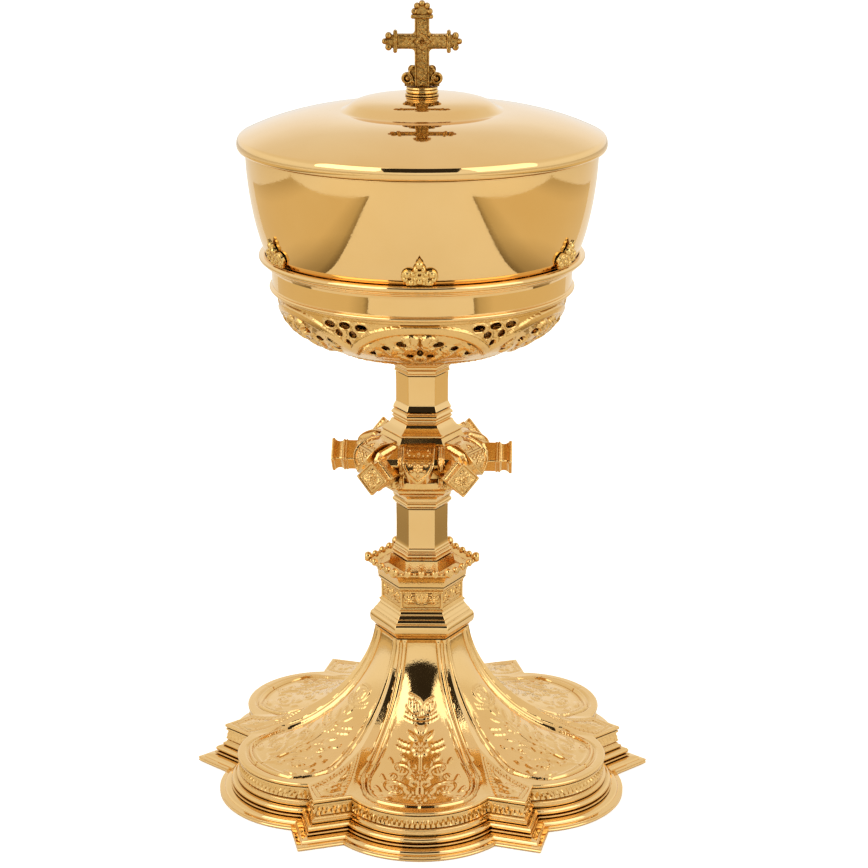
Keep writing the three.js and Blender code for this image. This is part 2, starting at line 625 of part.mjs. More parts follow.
// A heater shield: straight at the top, drawn to a point at the foot
function shieldShape(inset) {
  const half = SHIELD_WIDTH / 2 - inset;
  const top = -inset;
  const foot = -SHIELD_LENGTH + inset * 1.4;
  const shoulder = foot * 0.5;
  const shape = new THREE.Shape();
  shape.moveTo(-half, top);
  shape.lineTo(-half, shoulder);
  shape.quadraticCurveTo(-half * 0.92, foot * 0.78, 0, foot);
  shape.quadraticCurveTo(half * 0.92, foot * 0.78, half, shoulder);
  shape.lineTo(half, top);
  return shape;
}

// The line of a shield's back, over the roof and down in front of the breast
const shieldStart = new THREE.Vector2(roofTop.x + SEAT_GAP, roofTop.y + SEAT_GAP * 0.6);
const shieldEnd = new THREE.Vector2(KNOP_BREAST_CORNER * FLAT + 2.6, roofEdge.y - SHIELD_DROOP);
const shieldBack = new THREE.CubicBezierCurve(
  shieldStart,
  roofEdge.clone().add(new THREE.Vector2(1.2, SEAT_GAP)),
  new THREE.Vector2(shieldEnd.x + 0.2, roofEdge.y - 0.9),
  shieldEnd,
);

function shieldLine(lift) {
  return [0, 0.2, 0.4, 0.55, 0.7, 0.85, 1].map((t) => {
    const point = shieldBack.getPoint(t);
    const way = shieldBack.getTangent(t);
    return [point.x - way.y * lift, point.y + way.x * lift];
  });
}

// What a shield's outline cuts from a bent sheet that lies between two lifts off its back
function bentShield(inset, from, to) {
  const chord = shieldEnd.clone().sub(shieldStart).angle();
  const outline = pushedOut(shieldShape(inset), -SHIELD_WIDTH, SHIELD_WIDTH, 4)
    .rotateX(-Math.PI / 2 - chord)
    .translate(0, -shieldStart.x + 0.5, shieldStart.y + 0.4);
  const section = polygon([...shieldLine(from), ...shieldLine(to).reverse()]);
  const sheet = pushedOut(section, -SHIELD_WIDTH, SHIELD_WIDTH).rotateZ(-Math.PI / 2);
  return solidFrom(outline).intersect(solidFrom(sheet));
}

function knopShield() {
  const fieldFloor = SHIELD_THICKNESS - SHIELD_FIELD_DEPTH;
  return bentShield(0, 0, SHIELD_THICKNESS)
    .subtract(bentShield(SHIELD_BORDER, fieldFloor, SHIELD_THICKNESS + 0.8));
}

function upperShaft() {
  const profile = [
    [SHAFT_CORNER, 0],
    [SHAFT_CORNER - 0.05, UPPER_SHAFT_HEIGHT * 0.5],
    [SHAFT_CORNER + 0.1, UPPER_SHAFT_HEIGHT],
  ];
  return bored(hexagonal(profile), BORE_RADIUS, UPPER_SHAFT_HEIGHT);
}

function capital() {
  const profile = [
    [SHAFT_CORNER + 0.2, 0],
    [SHAFT_CORNER + 0.5, 0.5],
    ...cove([SHAFT_CORNER + 0.3, 0.8], [CAPITAL_CORNER - 0.7, 2.2], 2),
    ...roll(CAPITAL_CORNER - 0.6, 2.5, 1.5, 0.6),
    [CAPITAL_CORNER - 0.4, 4.3],
    [CAPITAL_CORNER + 0.3, CAPITAL_HEIGHT],
  ];
  return bored(hexagonal(profile), BORE_RADIUS, CAPITAL_HEIGHT);
}

// The basket's bowl, measured down from its top edge. Moving it in gives its other faces.
function cageCurve(inset, steps) {
  const power = 2 / CAGE_ROUNDNESS;
  const radius = CAGE_RADIUS - inset;
  const depth = CAGE_DEPTH - CAGE_HUB_HEIGHT - inset;
  const lastTurn = Math.acos((CAGE_HUB_RADIUS / radius) ** (1 / power));
  return [...Array(steps + 1).keys()].map((i) => {
    const turn = (lastTurn * i) / steps;
    return [radius * Math.cos(turn) ** power, CAGE_DEPTH - depth * Math.sin(turn) ** power];
  });
}

function cageShell(outer, inner, steps) {
  const outside = cageCurve(outer, steps);
  const inside = cageCurve(inner, steps).reverse();
  return turned([...outside, ...inside, outside[0]], CAGE_STEPS);
}

// The arch over each leaf, as a band between two arcs
function archShapes() {
  const crown = CAGE_DEPTH - ARCH_TOP_DROP;
  const centre = crown - ARCH_RADIUS;
  const half = THREE.MathUtils.degToRad(60);
  const band = new THREE.Shape();
  band.absarc(0, centre, ARCH_RADIUS, Math.PI / 2 - half, Math.PI / 2 + half, false);
  band.absarc(0, centre, ARCH_RADIUS - ARCH_BAND, Math.PI / 2 + half, Math.PI / 2 - half, true);
  return { band, crown };
}

// A three-lobed leaf under the arch's crown
function leafShape(crown) {
  const [tipY, waistY, footY] = [crown - 3.6, crown - 8.6, crown - 14.4];
  const leaf = new THREE.Shape();
  leaf.moveTo(0, tipY);
  leaf.bezierCurveTo(-3.4, tipY - 1, -3.2, waistY + 1.4, -2, waistY);
  leaf.bezierCurveTo(-7, waistY + 1, -7.6, footY + 1, -1.6, footY);
  leaf.lineTo(1.6, footY);
  leaf.bezierCurveTo(7.6, footY + 1, 7, waistY + 1, 2, waistY);
  leaf.bezierCurveTo(3.2, waistY + 1.4, 3.4, tipY - 1, 0, tipY);
  return leaf;
}

// Openings beside and under the leaf, and the pierced field between two arches
function cageOpenings(crown) {
  const inner = crown - ARCH_BAND;
  const left = polygon([[-15.5, inner - 8.6], [-8.2, inner - 9.4], [-6.4, inner - 6], [-8, inner - 1.8], [-12.6, inner - 3.6]]);
  const right = polygon([[15.5, inner - 8.6], [12.6, inner - 3.6], [8, inner - 1.8], [6.4, inner - 6], [8.2, inner - 9.4]]);
  const middle = polygon([[-3.8, inner - 11.2], [3.8, inner - 11.2], [0, inner - 7]]);
  const rowTop = crown - 0.6;
  const upper = [-8.4, 0, 8.4].map((x) => {
    return polygon([[x - 2.8, rowTop], [x - 1.2, rowTop - 2.7], [x + 1.2, rowTop - 2.7], [x + 2.8, rowTop]]);
  });
  const lower = [-3.3, 3.3].map((x) => {
    return polygon([[x - 2, rowTop - 4], [x - 0.9, rowTop - 6.6], [x + 0.9, rowTop - 6.6], [x + 2, rowTop - 4]]);
  });
  return { inArch: [left, right, middle], inField: [...upper, ...lower] };
}

function basketCage() {
  const { band, crown } = archShapes();
  const { inArch, inField } = cageOpenings(crown);
  const rows = 4;
  const sheet = cageShell(CAGE_RELIEF, CAGE_RELIEF + CAGE_SHEET, rows);
  const reliefSkin = cageShell(0, CAGE_RELIEF + CAGE_SHEET / 2, rows);
  const inner = CAGE_RADIUS * 0.4;
  const outer = CAGE_RADIUS + 1;
  const arches = roundTheAxis(pushedOut(band, inner, outer, 5));
  const leaf = roundTheAxis(pushedOut(leafShape(crown), inner, outer, 3));
  const relief = joined([...arches, ...leaf]).intersect(reliefSkin);
  const archHoles = inArch.flatMap((shape) => roundTheAxis(pushedOut(shape, inner, outer)));
  const fieldHoles = inField.flatMap((shape) => roundTheAxis(pushedOut(shape, inner, outer), HALF_SECTOR));
  const topEdge = tube(CAGE_RADIUS - CAGE_RELIEF - CAGE_SHEET, CAGE_RADIUS, CAGE_DEPTH - 1, CAGE_DEPTH, CAGE_STEPS);
  const hub = turned([
    [BORE_RADIUS, 0],
    [CAGE_HUB_RADIUS - 0.8, 0],
    [CAGE_HUB_RADIUS + 1.4, 1.9],
    [CAGE_HUB_RADIUS + 1.4, hubHeight],
    [BORE_RADIUS, hubHeight],
    [BORE_RADIUS, 0],
  ], CAGE_STEPS);
  return joined([without(sheet, [...archHoles, ...fieldHoles]), relief, topEdge, hub]);
}

function basketBand() {
  const lip = BAND_RADIUS + BAND_LIP;
  const top = BAND_HEIGHT;
  const outer = [
    [BAND_RADIUS - 0.4, 0],
    [BAND_RADIUS + 0.5, 0.5],
    [BAND_RADIUS + 0.5, 1.2],
    [BAND_RADIUS - 0.1, 1.7],
    [BAND_RADIUS, top - 4.6],
    [lip - 1.9, top - 3.9],
    [lip - 1, top - 2.9],
    ...roll(lip - 0.8, top - 2.3, 2.3, 0.8, 3),
  ];
  const innerTop = lip - BAND_RIM_WIDTH;
  const section = [...outer, [innerTop, top], [innerTop, top - 2], [BAND_RADIUS - BAND_SHEET, top - 7]];
  return turned([...section, [BAND_RADIUS - BAND_SHEET, 0], outer[0]]);
}

// A trefoil finial with a pointed top lobe
function finialPlate() {
  const spread = FINIAL_LOBE + 0.5;
  const sides = [-spread, spread].map((x) => pushedOut(roundShape(x, FINIAL_LOBE, FINIAL_LOBE), 0, FINIAL_THICKNESS, 5));
  const point = new THREE.Shape();
  point.moveTo(-FINIAL_LOBE * 0.9, FINIAL_LOBE);
  point.quadraticCurveTo(-FINIAL_LOBE * 1.2, FINIAL_HEIGHT * 0.72, 0, FINIAL_HEIGHT);
  point.quadraticCurveTo(FINIAL_LOBE * 1.2, FINIAL_HEIGHT * 0.72, FINIAL_LOBE * 0.9, FINIAL_LOBE);
  const foot = polygon([[-spread, 0], [spread, 0], [spread, 1.6], [-spread, 1.6]]);
  const plates = [...sides, pushedOut(point, 0, FINIAL_THICKNESS, 4), pushedOut(foot, 0, FINIAL_THICKNESS)];
  return joined(plates.map(solidFrom));
}

// The cup's wall, as a curve from the middle of its foot out to its rim
const cupCurve = new THREE.CurvePath();
const cupWaist = new THREE.Vector2(CUP_WAIST_RADIUS, bandTopZ - cupFootZ);
const cupRim = new THREE.Vector2(CUP_RIM_RADIUS, cupRimZ - cupFootZ);
const cupAngle = (degrees) => new THREE.Vector2(-Math.sin(degrees), -Math.cos(degrees));
cupCurve.add(new THREE.CubicBezierCurve(
  new THREE.Vector2(0, 0),
  new THREE.Vector2(CUP_WAIST_RADIUS * 0.62, 0),
  cupWaist.clone().addScaledVector(cupAngle(CUP_WAIST_LEAN), cupWaist.y * 0.48),
  cupWaist,
));
cupCurve.add(new THREE.CubicBezierCurve(
  cupWaist,
  cupWaist.clone().addScaledVector(cupAngle(CUP_WAIST_LEAN), -CUP_RISE * 0.2),
  cupRim.clone().add(new THREE.Vector2(-0.3, -CUP_RISE * 0.4)),
  cupRim,
));

function cupWall(inset) {
  return cupCurve.curves.flatMap((curve, part) => {
    const steps = part === 0 ? 5 : 4;
    return [...Array(steps + 1).keys()].slice(part).map((i) => {
      const point = curve.getPoint(i / steps);
      const tangent = curve.getTangent(i / steps);
      const radius = i === 0 && part === 0 ? 0 : point.x - tangent.y * inset;
      return [radius, part === 1 && i === steps ? point.y : point.y + tangent.x * inset];
    });
  });
}

// The radius of the cup's wall at a height over its foot
function cupRadiusAt(height, inset) {
  const wall = cupWall(inset);
  const next = wall.findIndex(([, z], i) => i > 0 && z >= height);
  const [[innerRadius, low], [outerRadius, high]] = [wall[next - 1], wall[next]];
  return innerRadius + ((outerRadius - innerRadius) * (height - low)) / (high - low);
}

const cupBowl = () => turned([...cupWall(0), ...cupWall(CUP_SHEET).reverse()]);

function cupBoss() {
  const body = disc(CUP_BOSS_RADIUS, 0, CUP_BOSS_HEIGHT, 18);
  return body.subtract(disc(BORE_RADIUS, -1, CUP_BOSS_HEIGHT - 1.2, 16));
}

// The lid, from the stud's hole out over the boss and the cone to the rolled edge, and back inside
function lidOuter() {
  const bossTop = lidTopZ - beadZ;
  const bossFoot = bossTop - BOSS_RISE;
  const beadCentre = BEAD_REACH - BEAD_RADIUS;
  const boreRadius = STUD_RADIUS + BORE_CLEARANCE;
  const dome = [
    [boreRadius, bossTop],
    [PLINTHLET_RADIUS * 1.3, bossTop],
    [BOSS_RADIUS * 0.62, bossTop - BOSS_RISE * 0.1],
    [BOSS_RADIUS * 0.83, bossTop - BOSS_RISE * 0.33],
    [BOSS_RADIUS * 0.93, bossTop - BOSS_RISE * 0.76],
    [BOSS_RADIUS, bossFoot],
  ];
  const coneRun = beadCentre - BOSS_RADIUS;
  const cone = [
    [BOSS_RADIUS + coneRun * 0.31, bossFoot - LID_RISE * 0.08],
    [BOSS_RADIUS + coneRun * 0.64, bossFoot - LID_RISE * 0.33],
    [BOSS_RADIUS + coneRun * 0.89, bossFoot - LID_RISE * 0.63],
  ];
  return { dome, cone, beadCentre };
}

function lidShell() {
  const { dome, cone, beadCentre } = lidOuter();
  const shoulder = [
    [beadCentre - BEAD_RADIUS * 0.27, BEAD_RADIUS * 2.2],
    [beadCentre + BEAD_RADIUS * 0.6, BEAD_RADIUS * 1.6],
  ];
  const bead = [20, -20, -60, -105, -150].map((degrees) => {
    const turn = THREE.MathUtils.degToRad(degrees);
    return [beadCentre + BEAD_RADIUS * Math.cos(turn), BEAD_RADIUS * Math.sin(turn)];
  });
  const inside = [...dome, ...cone].map(([r, z]) => [r, z - LID_SHEET]).reverse();
  return turned([...dome, ...cone, ...shoulder, ...bead, ...inside, dome[0]]);
}

function lidBezel() {
  const foot = -BEAD_RADIUS - SEAT_GAP - BEZEL_DEPTH;
  const outer = cupRadiusAt(beadZ + foot - cupFootZ, CUP_SHEET) - BEZEL_CLEARANCE;
  const [edgeRadius, edgeZ] = lidOuter().cone.at(-1);
  const top = edgeZ - LID_SHEET - SEAT_GAP - Math.max(0, outer - edgeRadius) * 2.6;
  return tube(outer - BEZEL_SHEET, outer, foot, top);
}

const balls = (places) => places.map(([x, z]) => {
  return solidFrom(new THREE.SphereGeometry(CROSS_BALL, 6, 4).rotateX(Math.PI / 2).translate(x, 0, z));
});

function crossShape(inset) {
  const half = CROSS_BAR / 2 - inset;
  const top = CROSS_SHAFT_HEIGHT - inset;
  const span = CROSS_HALF_SPAN - inset;
  const low = CROSS_CENTRE_HEIGHT - half;
  const high = CROSS_CENTRE_HEIGHT + half;
  return polygon([
    [-half, inset], [half, inset], [half, low], [span, low], [span, high], [half, high],
    [half, top], [-half, top], [-half, high], [-span, high], [-span, low], [-half, low],
  ]);
}

const centredPlate = (shape, depth, curveSegments) => {
  return solidFrom(pushedOut(shape, -depth / 2, depth / 2, curveSegments));
};

function crossFinial() {
  const body = centredPlate(crossShape(0), CROSS_DEPTH);
  const fieldStart = CROSS_DEPTH / 2 - CROSS_FIELD_DEPTH;
  const sunk = crossShape(CROSS_BORDER);
  const front = solidFrom(pushedOut(sunk, fieldStart, CROSS_DEPTH));
  const back = solidFrom(pushedOut(sunk, -CROSS_DEPTH, -fieldStart));
  const wide = CROSS_COLLAR_WIDTH / 2;
  const long = CROSS_COLLAR_LENGTH;
  const collarDepth = CROSS_DEPTH + 1;
  const top = CROSS_SHAFT_HEIGHT;
  const collars = [
    polygon([[-wide, top - long], [wide, top - long], [wide, top], [-wide, top]]),
    ...[-1, 1].map((side) => {
      const near = side * (CROSS_HALF_SPAN - long);
      const far = side * CROSS_HALF_SPAN;
      const [a, b] = [Math.min(near, far), Math.max(near, far)];
      const mid = CROSS_CENTRE_HEIGHT;
      return polygon([[a, mid - wide], [b, mid - wide], [b, mid + wide], [a, mid + wide]]);
    }),
  ].map((shape) => centredPlate(shape, collarDepth));
  const bud = CROSS_BALL;
  const out = CROSS_HALF_SPAN + bud;
  const sideBuds = [-1, 1].flatMap((side) => [
    [side * out, CROSS_CENTRE_HEIGHT + 1.7 * bud],
    [side * out, CROSS_CENTRE_HEIGHT - 1.7 * bud],
    [side * (out + 1.2 * bud), CROSS_CENTRE_HEIGHT],
  ]);
  const topBuds = [[-2.3, 0.7], [2.3, 0.7], [-1.5, 2.3], [1.5, 2.3], [0, 2.9]].map(([x, z]) => {
    return [x * bud, top + z * bud];
  });
  const rise = CROSS_CENTRE_HEIGHT;
  const stems = [
    polygon([[-1.3 * bud, top - 1], [1.3 * bud, top - 1], [1.3 * bud, top + 2.4 * bud], [-1.3 * bud, top + 2.4 * bud]]),
    ...[-1, 1].map((side) => {
      const ends = [side * (CROSS_HALF_SPAN - 1), side * (out + bud * 0.6)].sort((a, b) => a - b);
      const half = 1.3 * bud;
      return polygon([[ends[0], rise - half], [ends[1], rise - half], [ends[1], rise + half], [ends[0], rise + half]]);
    }),
  ].map((shape) => centredPlate(shape, CROSS_BALL * 1.3));
  const volutes = [-1, 1].flatMap((side) => {
    const x = side * (CROSS_BAR / 2 + VOLUTE_RADIUS - 0.4);
    const ring = roundShape(x, VOLUTE_RADIUS + 1, VOLUTE_RADIUS);
    ring.holes.push(new THREE.Path().absarc(x, VOLUTE_RADIUS + 1, VOLUTE_RADIUS * 0.42, 0, 2 * Math.PI, true));
    const curl = roundShape(side * (CROSS_BAR / 2 + 0.8), 2 * VOLUTE_RADIUS + 1.8, VOLUTE_RADIUS * 0.62);
    const x0 = side * (CROSS_BAR / 2 - 0.5);
    const x1 = side * (CROSS_BAR / 2 + VOLUTE_RADIUS);
    const stub = polygon([[Math.min(x0, x1), 0], [Math.max(x0, x1), 0], [Math.max(x0, x1), 2], [Math.min(x0, x1), 2]]);
    return [ring, curl, stub].map((shape) => centredPlate(shape, CROSS_DEPTH * 0.8, 3));
  });
  const buds = balls([...sideBuds, ...topBuds]);
  return joined([without(body, [front, back]), ...collars, ...stems, ...volutes, ...buds]);
}

// The turned base under the cross, with the stud that goes down through the lid
function crossBase() {
  const profile = [
    [0, 0],
    [PLINTHLET_RADIUS, 0],
    ...roll(PLINTHLET_RADIUS - 0.3, 0.1, 1.2, 0.4, 3),
    [PLINTHLET_RADIUS - 1, 1.6],
    [PLINTHLET_RADIUS - 0.3, 2],
    [PLINTHLET_RADIUS - 0.3, PLINTHLET_HEIGHT],
    [0, PLINTHLET_HEIGHT],
  ];
  const grip = LID_SHEET + 2 * SEAT_GAP + LID_WASHER_THICKNESS + SEAT_GAP + LID_NUT_HEIGHT + THREAD_END;
  return turned(profile, 18).add(disc(STUD_RADIUS, -grip, 1, 10));
}

function hexNut(corner, height, bore) {
  const rings = [[corner, 0], [corner, height]];
  return bored(hexagonal(rings), bore, height);
}

// Assembly
const ciborium = new THREE.Group();
ciborium.name = 'ciborium';

function place(name, solid, material, z = 0, parent = ciborium) {
  const mesh = new THREE.Mesh(geometryFrom(solid), material);
  mesh.name = name;
  mesh.position.z = z;
  parent.add(mesh);
  return mesh;
}

// Six copies of one piece, each in its own group turned about the axis
function placeSix(stem, solid, material, firstAzimuth, settle) {
  for (let k = 0; k < SIDES; k += 1) {
    const spoke = new THREE.Group();
    spoke.rotation.z = firstAzimuth + k * SECTOR;
    ciborium.add(spoke);
    settle(place(`${stem}_${k + 1}`, solid, material, 0, spoke));
  }
}

place('foot_flange', footFlange(), polished());
place('foot_plinth', footPlinth(), polished(), plinthZ);
place('foot_sweep', footSweep(), polished());
place('stem_collar', stemCollar(), polished(), collarZ);
place('frieze_drum', friezeDrum(), cast(), drumZ);
place('gallery_crown', galleryCrown(), cast(), crownZ);
place('lower_shaft', lowerShaft(), polished(), lowerShaftZ);
place('knop_lower_neck', lowerNeck(), polished(), lowerNeckZ);
place('knop_body', knopBody(), cast(), knopZ).rotation.z = KNOP_TURN;
place('knop_upper_neck', upperNeck(), polished(), upperNeckZ);
place('upper_shaft', upperShaft(), polished(), upperShaftZ);
place('stem_capital', capital(), polished(), capitalZ);

placeSix('knop_arm', knopArm(), cast(), HALF_SECTOR + KNOP_TURN, (mesh) => {
  mesh.position.z = knopZ + ARM_HEIGHT;
});

placeSix('knop_shield', knopShield(), cast(), KNOP_TURN, (mesh) => {
  mesh.position.z = knopZ;
});

place('basket_cage', basketCage(), cast(), cageZ);
place('basket_band', basketBand(), polished(), bandZ);

// The finials lean out as far as the cup's wall does beside them. The lean also lifts their backs
// a little, so it is found in three rounds from the lean of the cup's waist.
const finialSeat = CUP_WAIST_RADIUS + SEAT_GAP + 0.1;
const finialFootZ = bandTopZ + SEAT_GAP;
function clearLean(guess) {
  const lift = FINIAL_THICKNESS * Math.sin(guess);
  return Math.max(...[0.25, 0.4, 0.55, 0.7, 0.85, 1].map((share) => {
    const rise = FINIAL_HEIGHT * share;
    const wall = cupRadiusAt(finialFootZ + rise - cupFootZ, 0);
    return Math.atan2(wall + SEAT_GAP * 0.5 - finialSeat, rise - lift);
  }));
}
const finialLean = clearLean(clearLean(clearLean(CUP_WAIST_LEAN)));
placeSix('basket_finial', finialPlate(), antique(), 0, (mesh) => {
  mesh.rotation.x = finialLean;
  mesh.position.y = -finialSeat;
  mesh.position.z = finialFootZ + FINIAL_THICKNESS * Math.sin(finialLean);
});

place('cup_boss', cupBoss(), cast(), bossZ);
place('cup_bowl', cupBowl(), polished(), cupFootZ);

const washerZ = footTopZ - 2 * FOOT_SHEET - SEAT_GAP - TIE_WASHER_THICKNESS;
const nutZ = washerZ - SEAT_GAP - TIE_NUT_HEIGHT;
const rodFootZ = nutZ - THREAD_END;
const rodTopZ = bossZ + CUP_BOSS_HEIGHT - 1.2 - SEAT_GAP;
place('tie_washer', tube(BORE_RADIUS, TIE_WASHER_RADIUS, 0, TIE_WASHER_THICKNESS, 16), steel(), washerZ);
place('tie_nut', hexNut(TIE_NUT_CORNER, TIE_NUT_HEIGHT, BORE_RADIUS), steel(), nutZ);
place('tie_rod', disc(TIE_ROD_RADIUS, 0, rodTopZ - rodFootZ, 16), steel(), rodFootZ);

const lid = new THREE.Group();
lid.name = 'lid';
ciborium.add(lid);
const studBore = STUD_RADIUS + BORE_CLEARANCE;
const lidWasherZ = lidTopZ - LID_SHEET - SEAT_GAP - LID_WASHER_THICKNESS - 0.1;
const lidNutZ = lidWasherZ - SEAT_GAP - LID_NUT_HEIGHT;
place('lid_shell', lidShell(), polished(), beadZ, lid);
place('lid_bezel', lidBezel(), polished(), beadZ, lid);
place('cross_base', crossBase(), antique(), plinthletZ, lid);
place('cross_finial', crossFinial(), antique(), crossZ, lid);
place('finial_washer', tube(studBore, LID_WASHER_RADIUS, 0, LID_WASHER_THICKNESS, 16), steel(), lidWasherZ, lid);
place('finial_nut', hexNut(LID_NUT_CORNER, LID_NUT_HEIGHT, studBore), steel(), lidNutZ, lid);

export default ciborium;
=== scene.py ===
import math

import bpy
import numpy as np
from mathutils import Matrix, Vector


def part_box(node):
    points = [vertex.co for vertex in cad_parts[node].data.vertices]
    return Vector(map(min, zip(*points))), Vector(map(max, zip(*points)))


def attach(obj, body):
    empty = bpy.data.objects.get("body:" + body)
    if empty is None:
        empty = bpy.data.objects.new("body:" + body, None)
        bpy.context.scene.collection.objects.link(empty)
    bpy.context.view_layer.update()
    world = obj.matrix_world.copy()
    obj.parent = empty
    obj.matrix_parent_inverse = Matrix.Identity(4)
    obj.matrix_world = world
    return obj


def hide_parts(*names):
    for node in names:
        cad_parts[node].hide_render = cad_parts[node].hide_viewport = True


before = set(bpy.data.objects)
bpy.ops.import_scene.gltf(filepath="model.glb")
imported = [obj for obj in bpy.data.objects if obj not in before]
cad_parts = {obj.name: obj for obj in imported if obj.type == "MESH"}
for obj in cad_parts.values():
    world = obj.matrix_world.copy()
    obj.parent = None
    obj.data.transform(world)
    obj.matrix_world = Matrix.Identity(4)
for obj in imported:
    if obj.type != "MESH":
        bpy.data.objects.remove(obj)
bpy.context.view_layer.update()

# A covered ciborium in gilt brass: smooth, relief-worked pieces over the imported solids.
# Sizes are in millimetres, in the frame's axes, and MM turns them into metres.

MM = 0.001
SIDES = 6
SECTOR = 2 * math.pi / SIDES
HALF = SECTOR / 2
FLAT = math.cos(HALF)                # a hexagon's flat is this share of its corner radius
ROUND_STEPS = 192
KNOP_TURN = math.radians(-2.5)       # the knop sits a little off the stem's sides

# Foot, as in the solids
LOBE_REACH = 83.2
LOBE_RADIUS = 37.0
TIP_REACH = 87.9
JUNCTION_ANGLE = math.radians(21.3)
PLINTH_INSET = 7.5
RIM_INSET = 7.7
SWEEP_TOP_CORNER = 18.1
PANEL_HALF_ANGLE = math.radians(20.2)
FOOT_SHEET = 2.0

# Cup and lid
CUP_RIM_RADIUS = 64.0
CUP_WAIST_RADIUS = 57.1
CUP_WAIST_LEAN = math.radians(26)
FINIAL_LEAN = math.radians(21.7)
CUP_SHEET = 1.2
BEAD_RADIUS = 1.85
BEAD_REACH = 67.0
LID_SHEET = 1.2

# Knop
KNOP_HEIGHT = 22.0
KNOP_TOP_BLOCK = 2.1
KNOP_TOP_CORNER = 14.6
KNOP_ROOF_CORNER = 24.6
KNOP_ROOF_FALL = 3.0
KNOP_BREAST_CORNER = 26.0
SHIELD_WIDTH = 11.6
SHIELD_LENGTH = 18.6
SHIELD_THICKNESS = 1.8
SHIELD_DROOP = 9.0
ARM_REACH = 33.9

# Basket
CAGE_RADIUS = 54.0
CAGE_HUB_HEIGHT = 1.2
CAGE_ROUNDNESS = 2.3
CAGE_SHEET = 1.6
CAGE_RELIEF = 0.8
CAGE_HUB_RADIUS = 13.0
ARCH_HALF = 25.4
ARCH_RISE = 15.5
ARCH_BAND = 3.4
ARCH_TOP_DROP = 1.4
BAND_RADIUS = 55.2
BAND_LIP = 4.6
BAND_SHEET = 0.9


def foot_of(node):
    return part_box(node)[0].z / MM


def top_of(node):
    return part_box(node)[1].z / MM


# Meshes

def toward(azimuth):
    """The unit vectors at an azimuth round the axis; 0 faces -Y, the front."""
    azimuth = np.asarray(azimuth, float)
    return np.stack([np.sin(azimuth), -np.cos(azimuth)], axis=-1)


def at(radius, azimuth, z):
    radius, azimuth, z = np.broadcast_arrays(radius, azimuth, z)
    flat = toward(azimuth) * radius[..., None]
    return np.concatenate([flat, z[..., None]], axis=-1).astype(float)


def turned_about_z(points, angle):
    c, s = math.cos(angle), math.sin(angle)
    x, y, z = np.moveaxis(np.asarray(points, float), -1, 0)
    return np.stack([c * x - s * y, s * x + c * y, z], axis=-1)


def grid_faces(rows, columns, wrap_rows=False, wrap_columns=True):
    r = np.arange(rows if wrap_rows else rows - 1)[:, None]
    c = np.arange(columns if wrap_columns else columns - 1)[None, :]
    r_next = (r + 1) % rows
    c_next = (c + 1) % columns
    corners = [r * columns + c, r * columns + c_next, r_next * columns + c_next, r_next * columns + c]
    return np.stack(corners, axis=-1).reshape(-1, 4)


def loft(rings, looped=False):
    """A closed surface through rings of points; a looped one joins its last ring to its first."""
    rings = np.asarray(rings, float)
    rows, columns = rings.shape[:2]
    points = rings.reshape(-1, 3)
    quads = grid_faces(rows, columns, wrap_rows=looped)
    if looped:
        return points, [quads]
    count = len(points)
    here = np.arange(columns)
    after = (here + 1) % columns
    top = (rows - 1) * columns
    foot_cap = np.stack([after, here, np.full(columns, count)], axis=-1)
    top_cap = np.stack([top + here, top + after, np.full(columns, count + 1)], axis=-1)
    centres = [rings[0].mean(axis=0), rings[-1].mean(axis=0)]
    return np.vstack([points, centres]), [quads, np.vstack([foot_cap, top_cap])]


def signed_volume(points, faces):
    total = 0.0
    for face in faces:
        first = points[face[:, 0]]
        for k in range(1, face.shape[1] - 1):
            total += np.einsum("ij,ij->", first, np.cross(points[face[:, k]], points[face[:, k + 1]]))
    return total


class Body:
    """The closed surfaces of one piece, kept facing outward."""

    def __init__(self, *surfaces):
        self.points = []
        self.faces = []
        self.count = 0
        for surface in surfaces:
            self.add(surface)

    def add(self, surface):
        points, faces = surface
        if signed_volume(points, faces) < 0:
            faces = [face[:, ::-1] for face in faces]
        self.points.append(points)
        self.faces += [face + self.count for face in faces if len(face)]
        self.count += len(points)
        return self

    def turned(self, angle):
        copy = Body()
        copy.points = [turned_about_z(points, angle) for points in self.points]
        copy.faces = self.faces
        copy.count = self.count
        return copy


def piece(name, body, material, nodes, rides="stand", crease=34):
    """Makes the object, and puts it in the place of its nodes."""
    mesh = bpy.data.meshes.new(name)
    points = np.vstack(body.points) * MM
    mesh.vertices.add(len(points))
    mesh.vertices.foreach_set("co", points.ravel())
    corners = np.concatenate([face.ravel() for face in body.faces])
    lengths = np.concatenate([np.full(len(face), face.shape[1]) for face in body.faces])
    mesh.loops.add(len(corners))
    mesh.loops.foreach_set("vertex_index", corners.astype(np.int32))
    mesh.polygons.add(len(lengths))
    mesh.polygons.foreach_set("loop_start", (np.cumsum(lengths) - lengths).astype(np.int32))
    mesh.update(calc_edges=True)
    mesh.validate()
    mesh.shade_smooth()
    mesh.set_sharp_from_angle(angle=math.radians(crease))
    mesh.materials.append(material)
    thing = bpy.data.objects.new(name, mesh)
    bpy.context.scene.collection.objects.link(thing)
    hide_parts(*nodes)
    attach(thing, rides)
    return thing


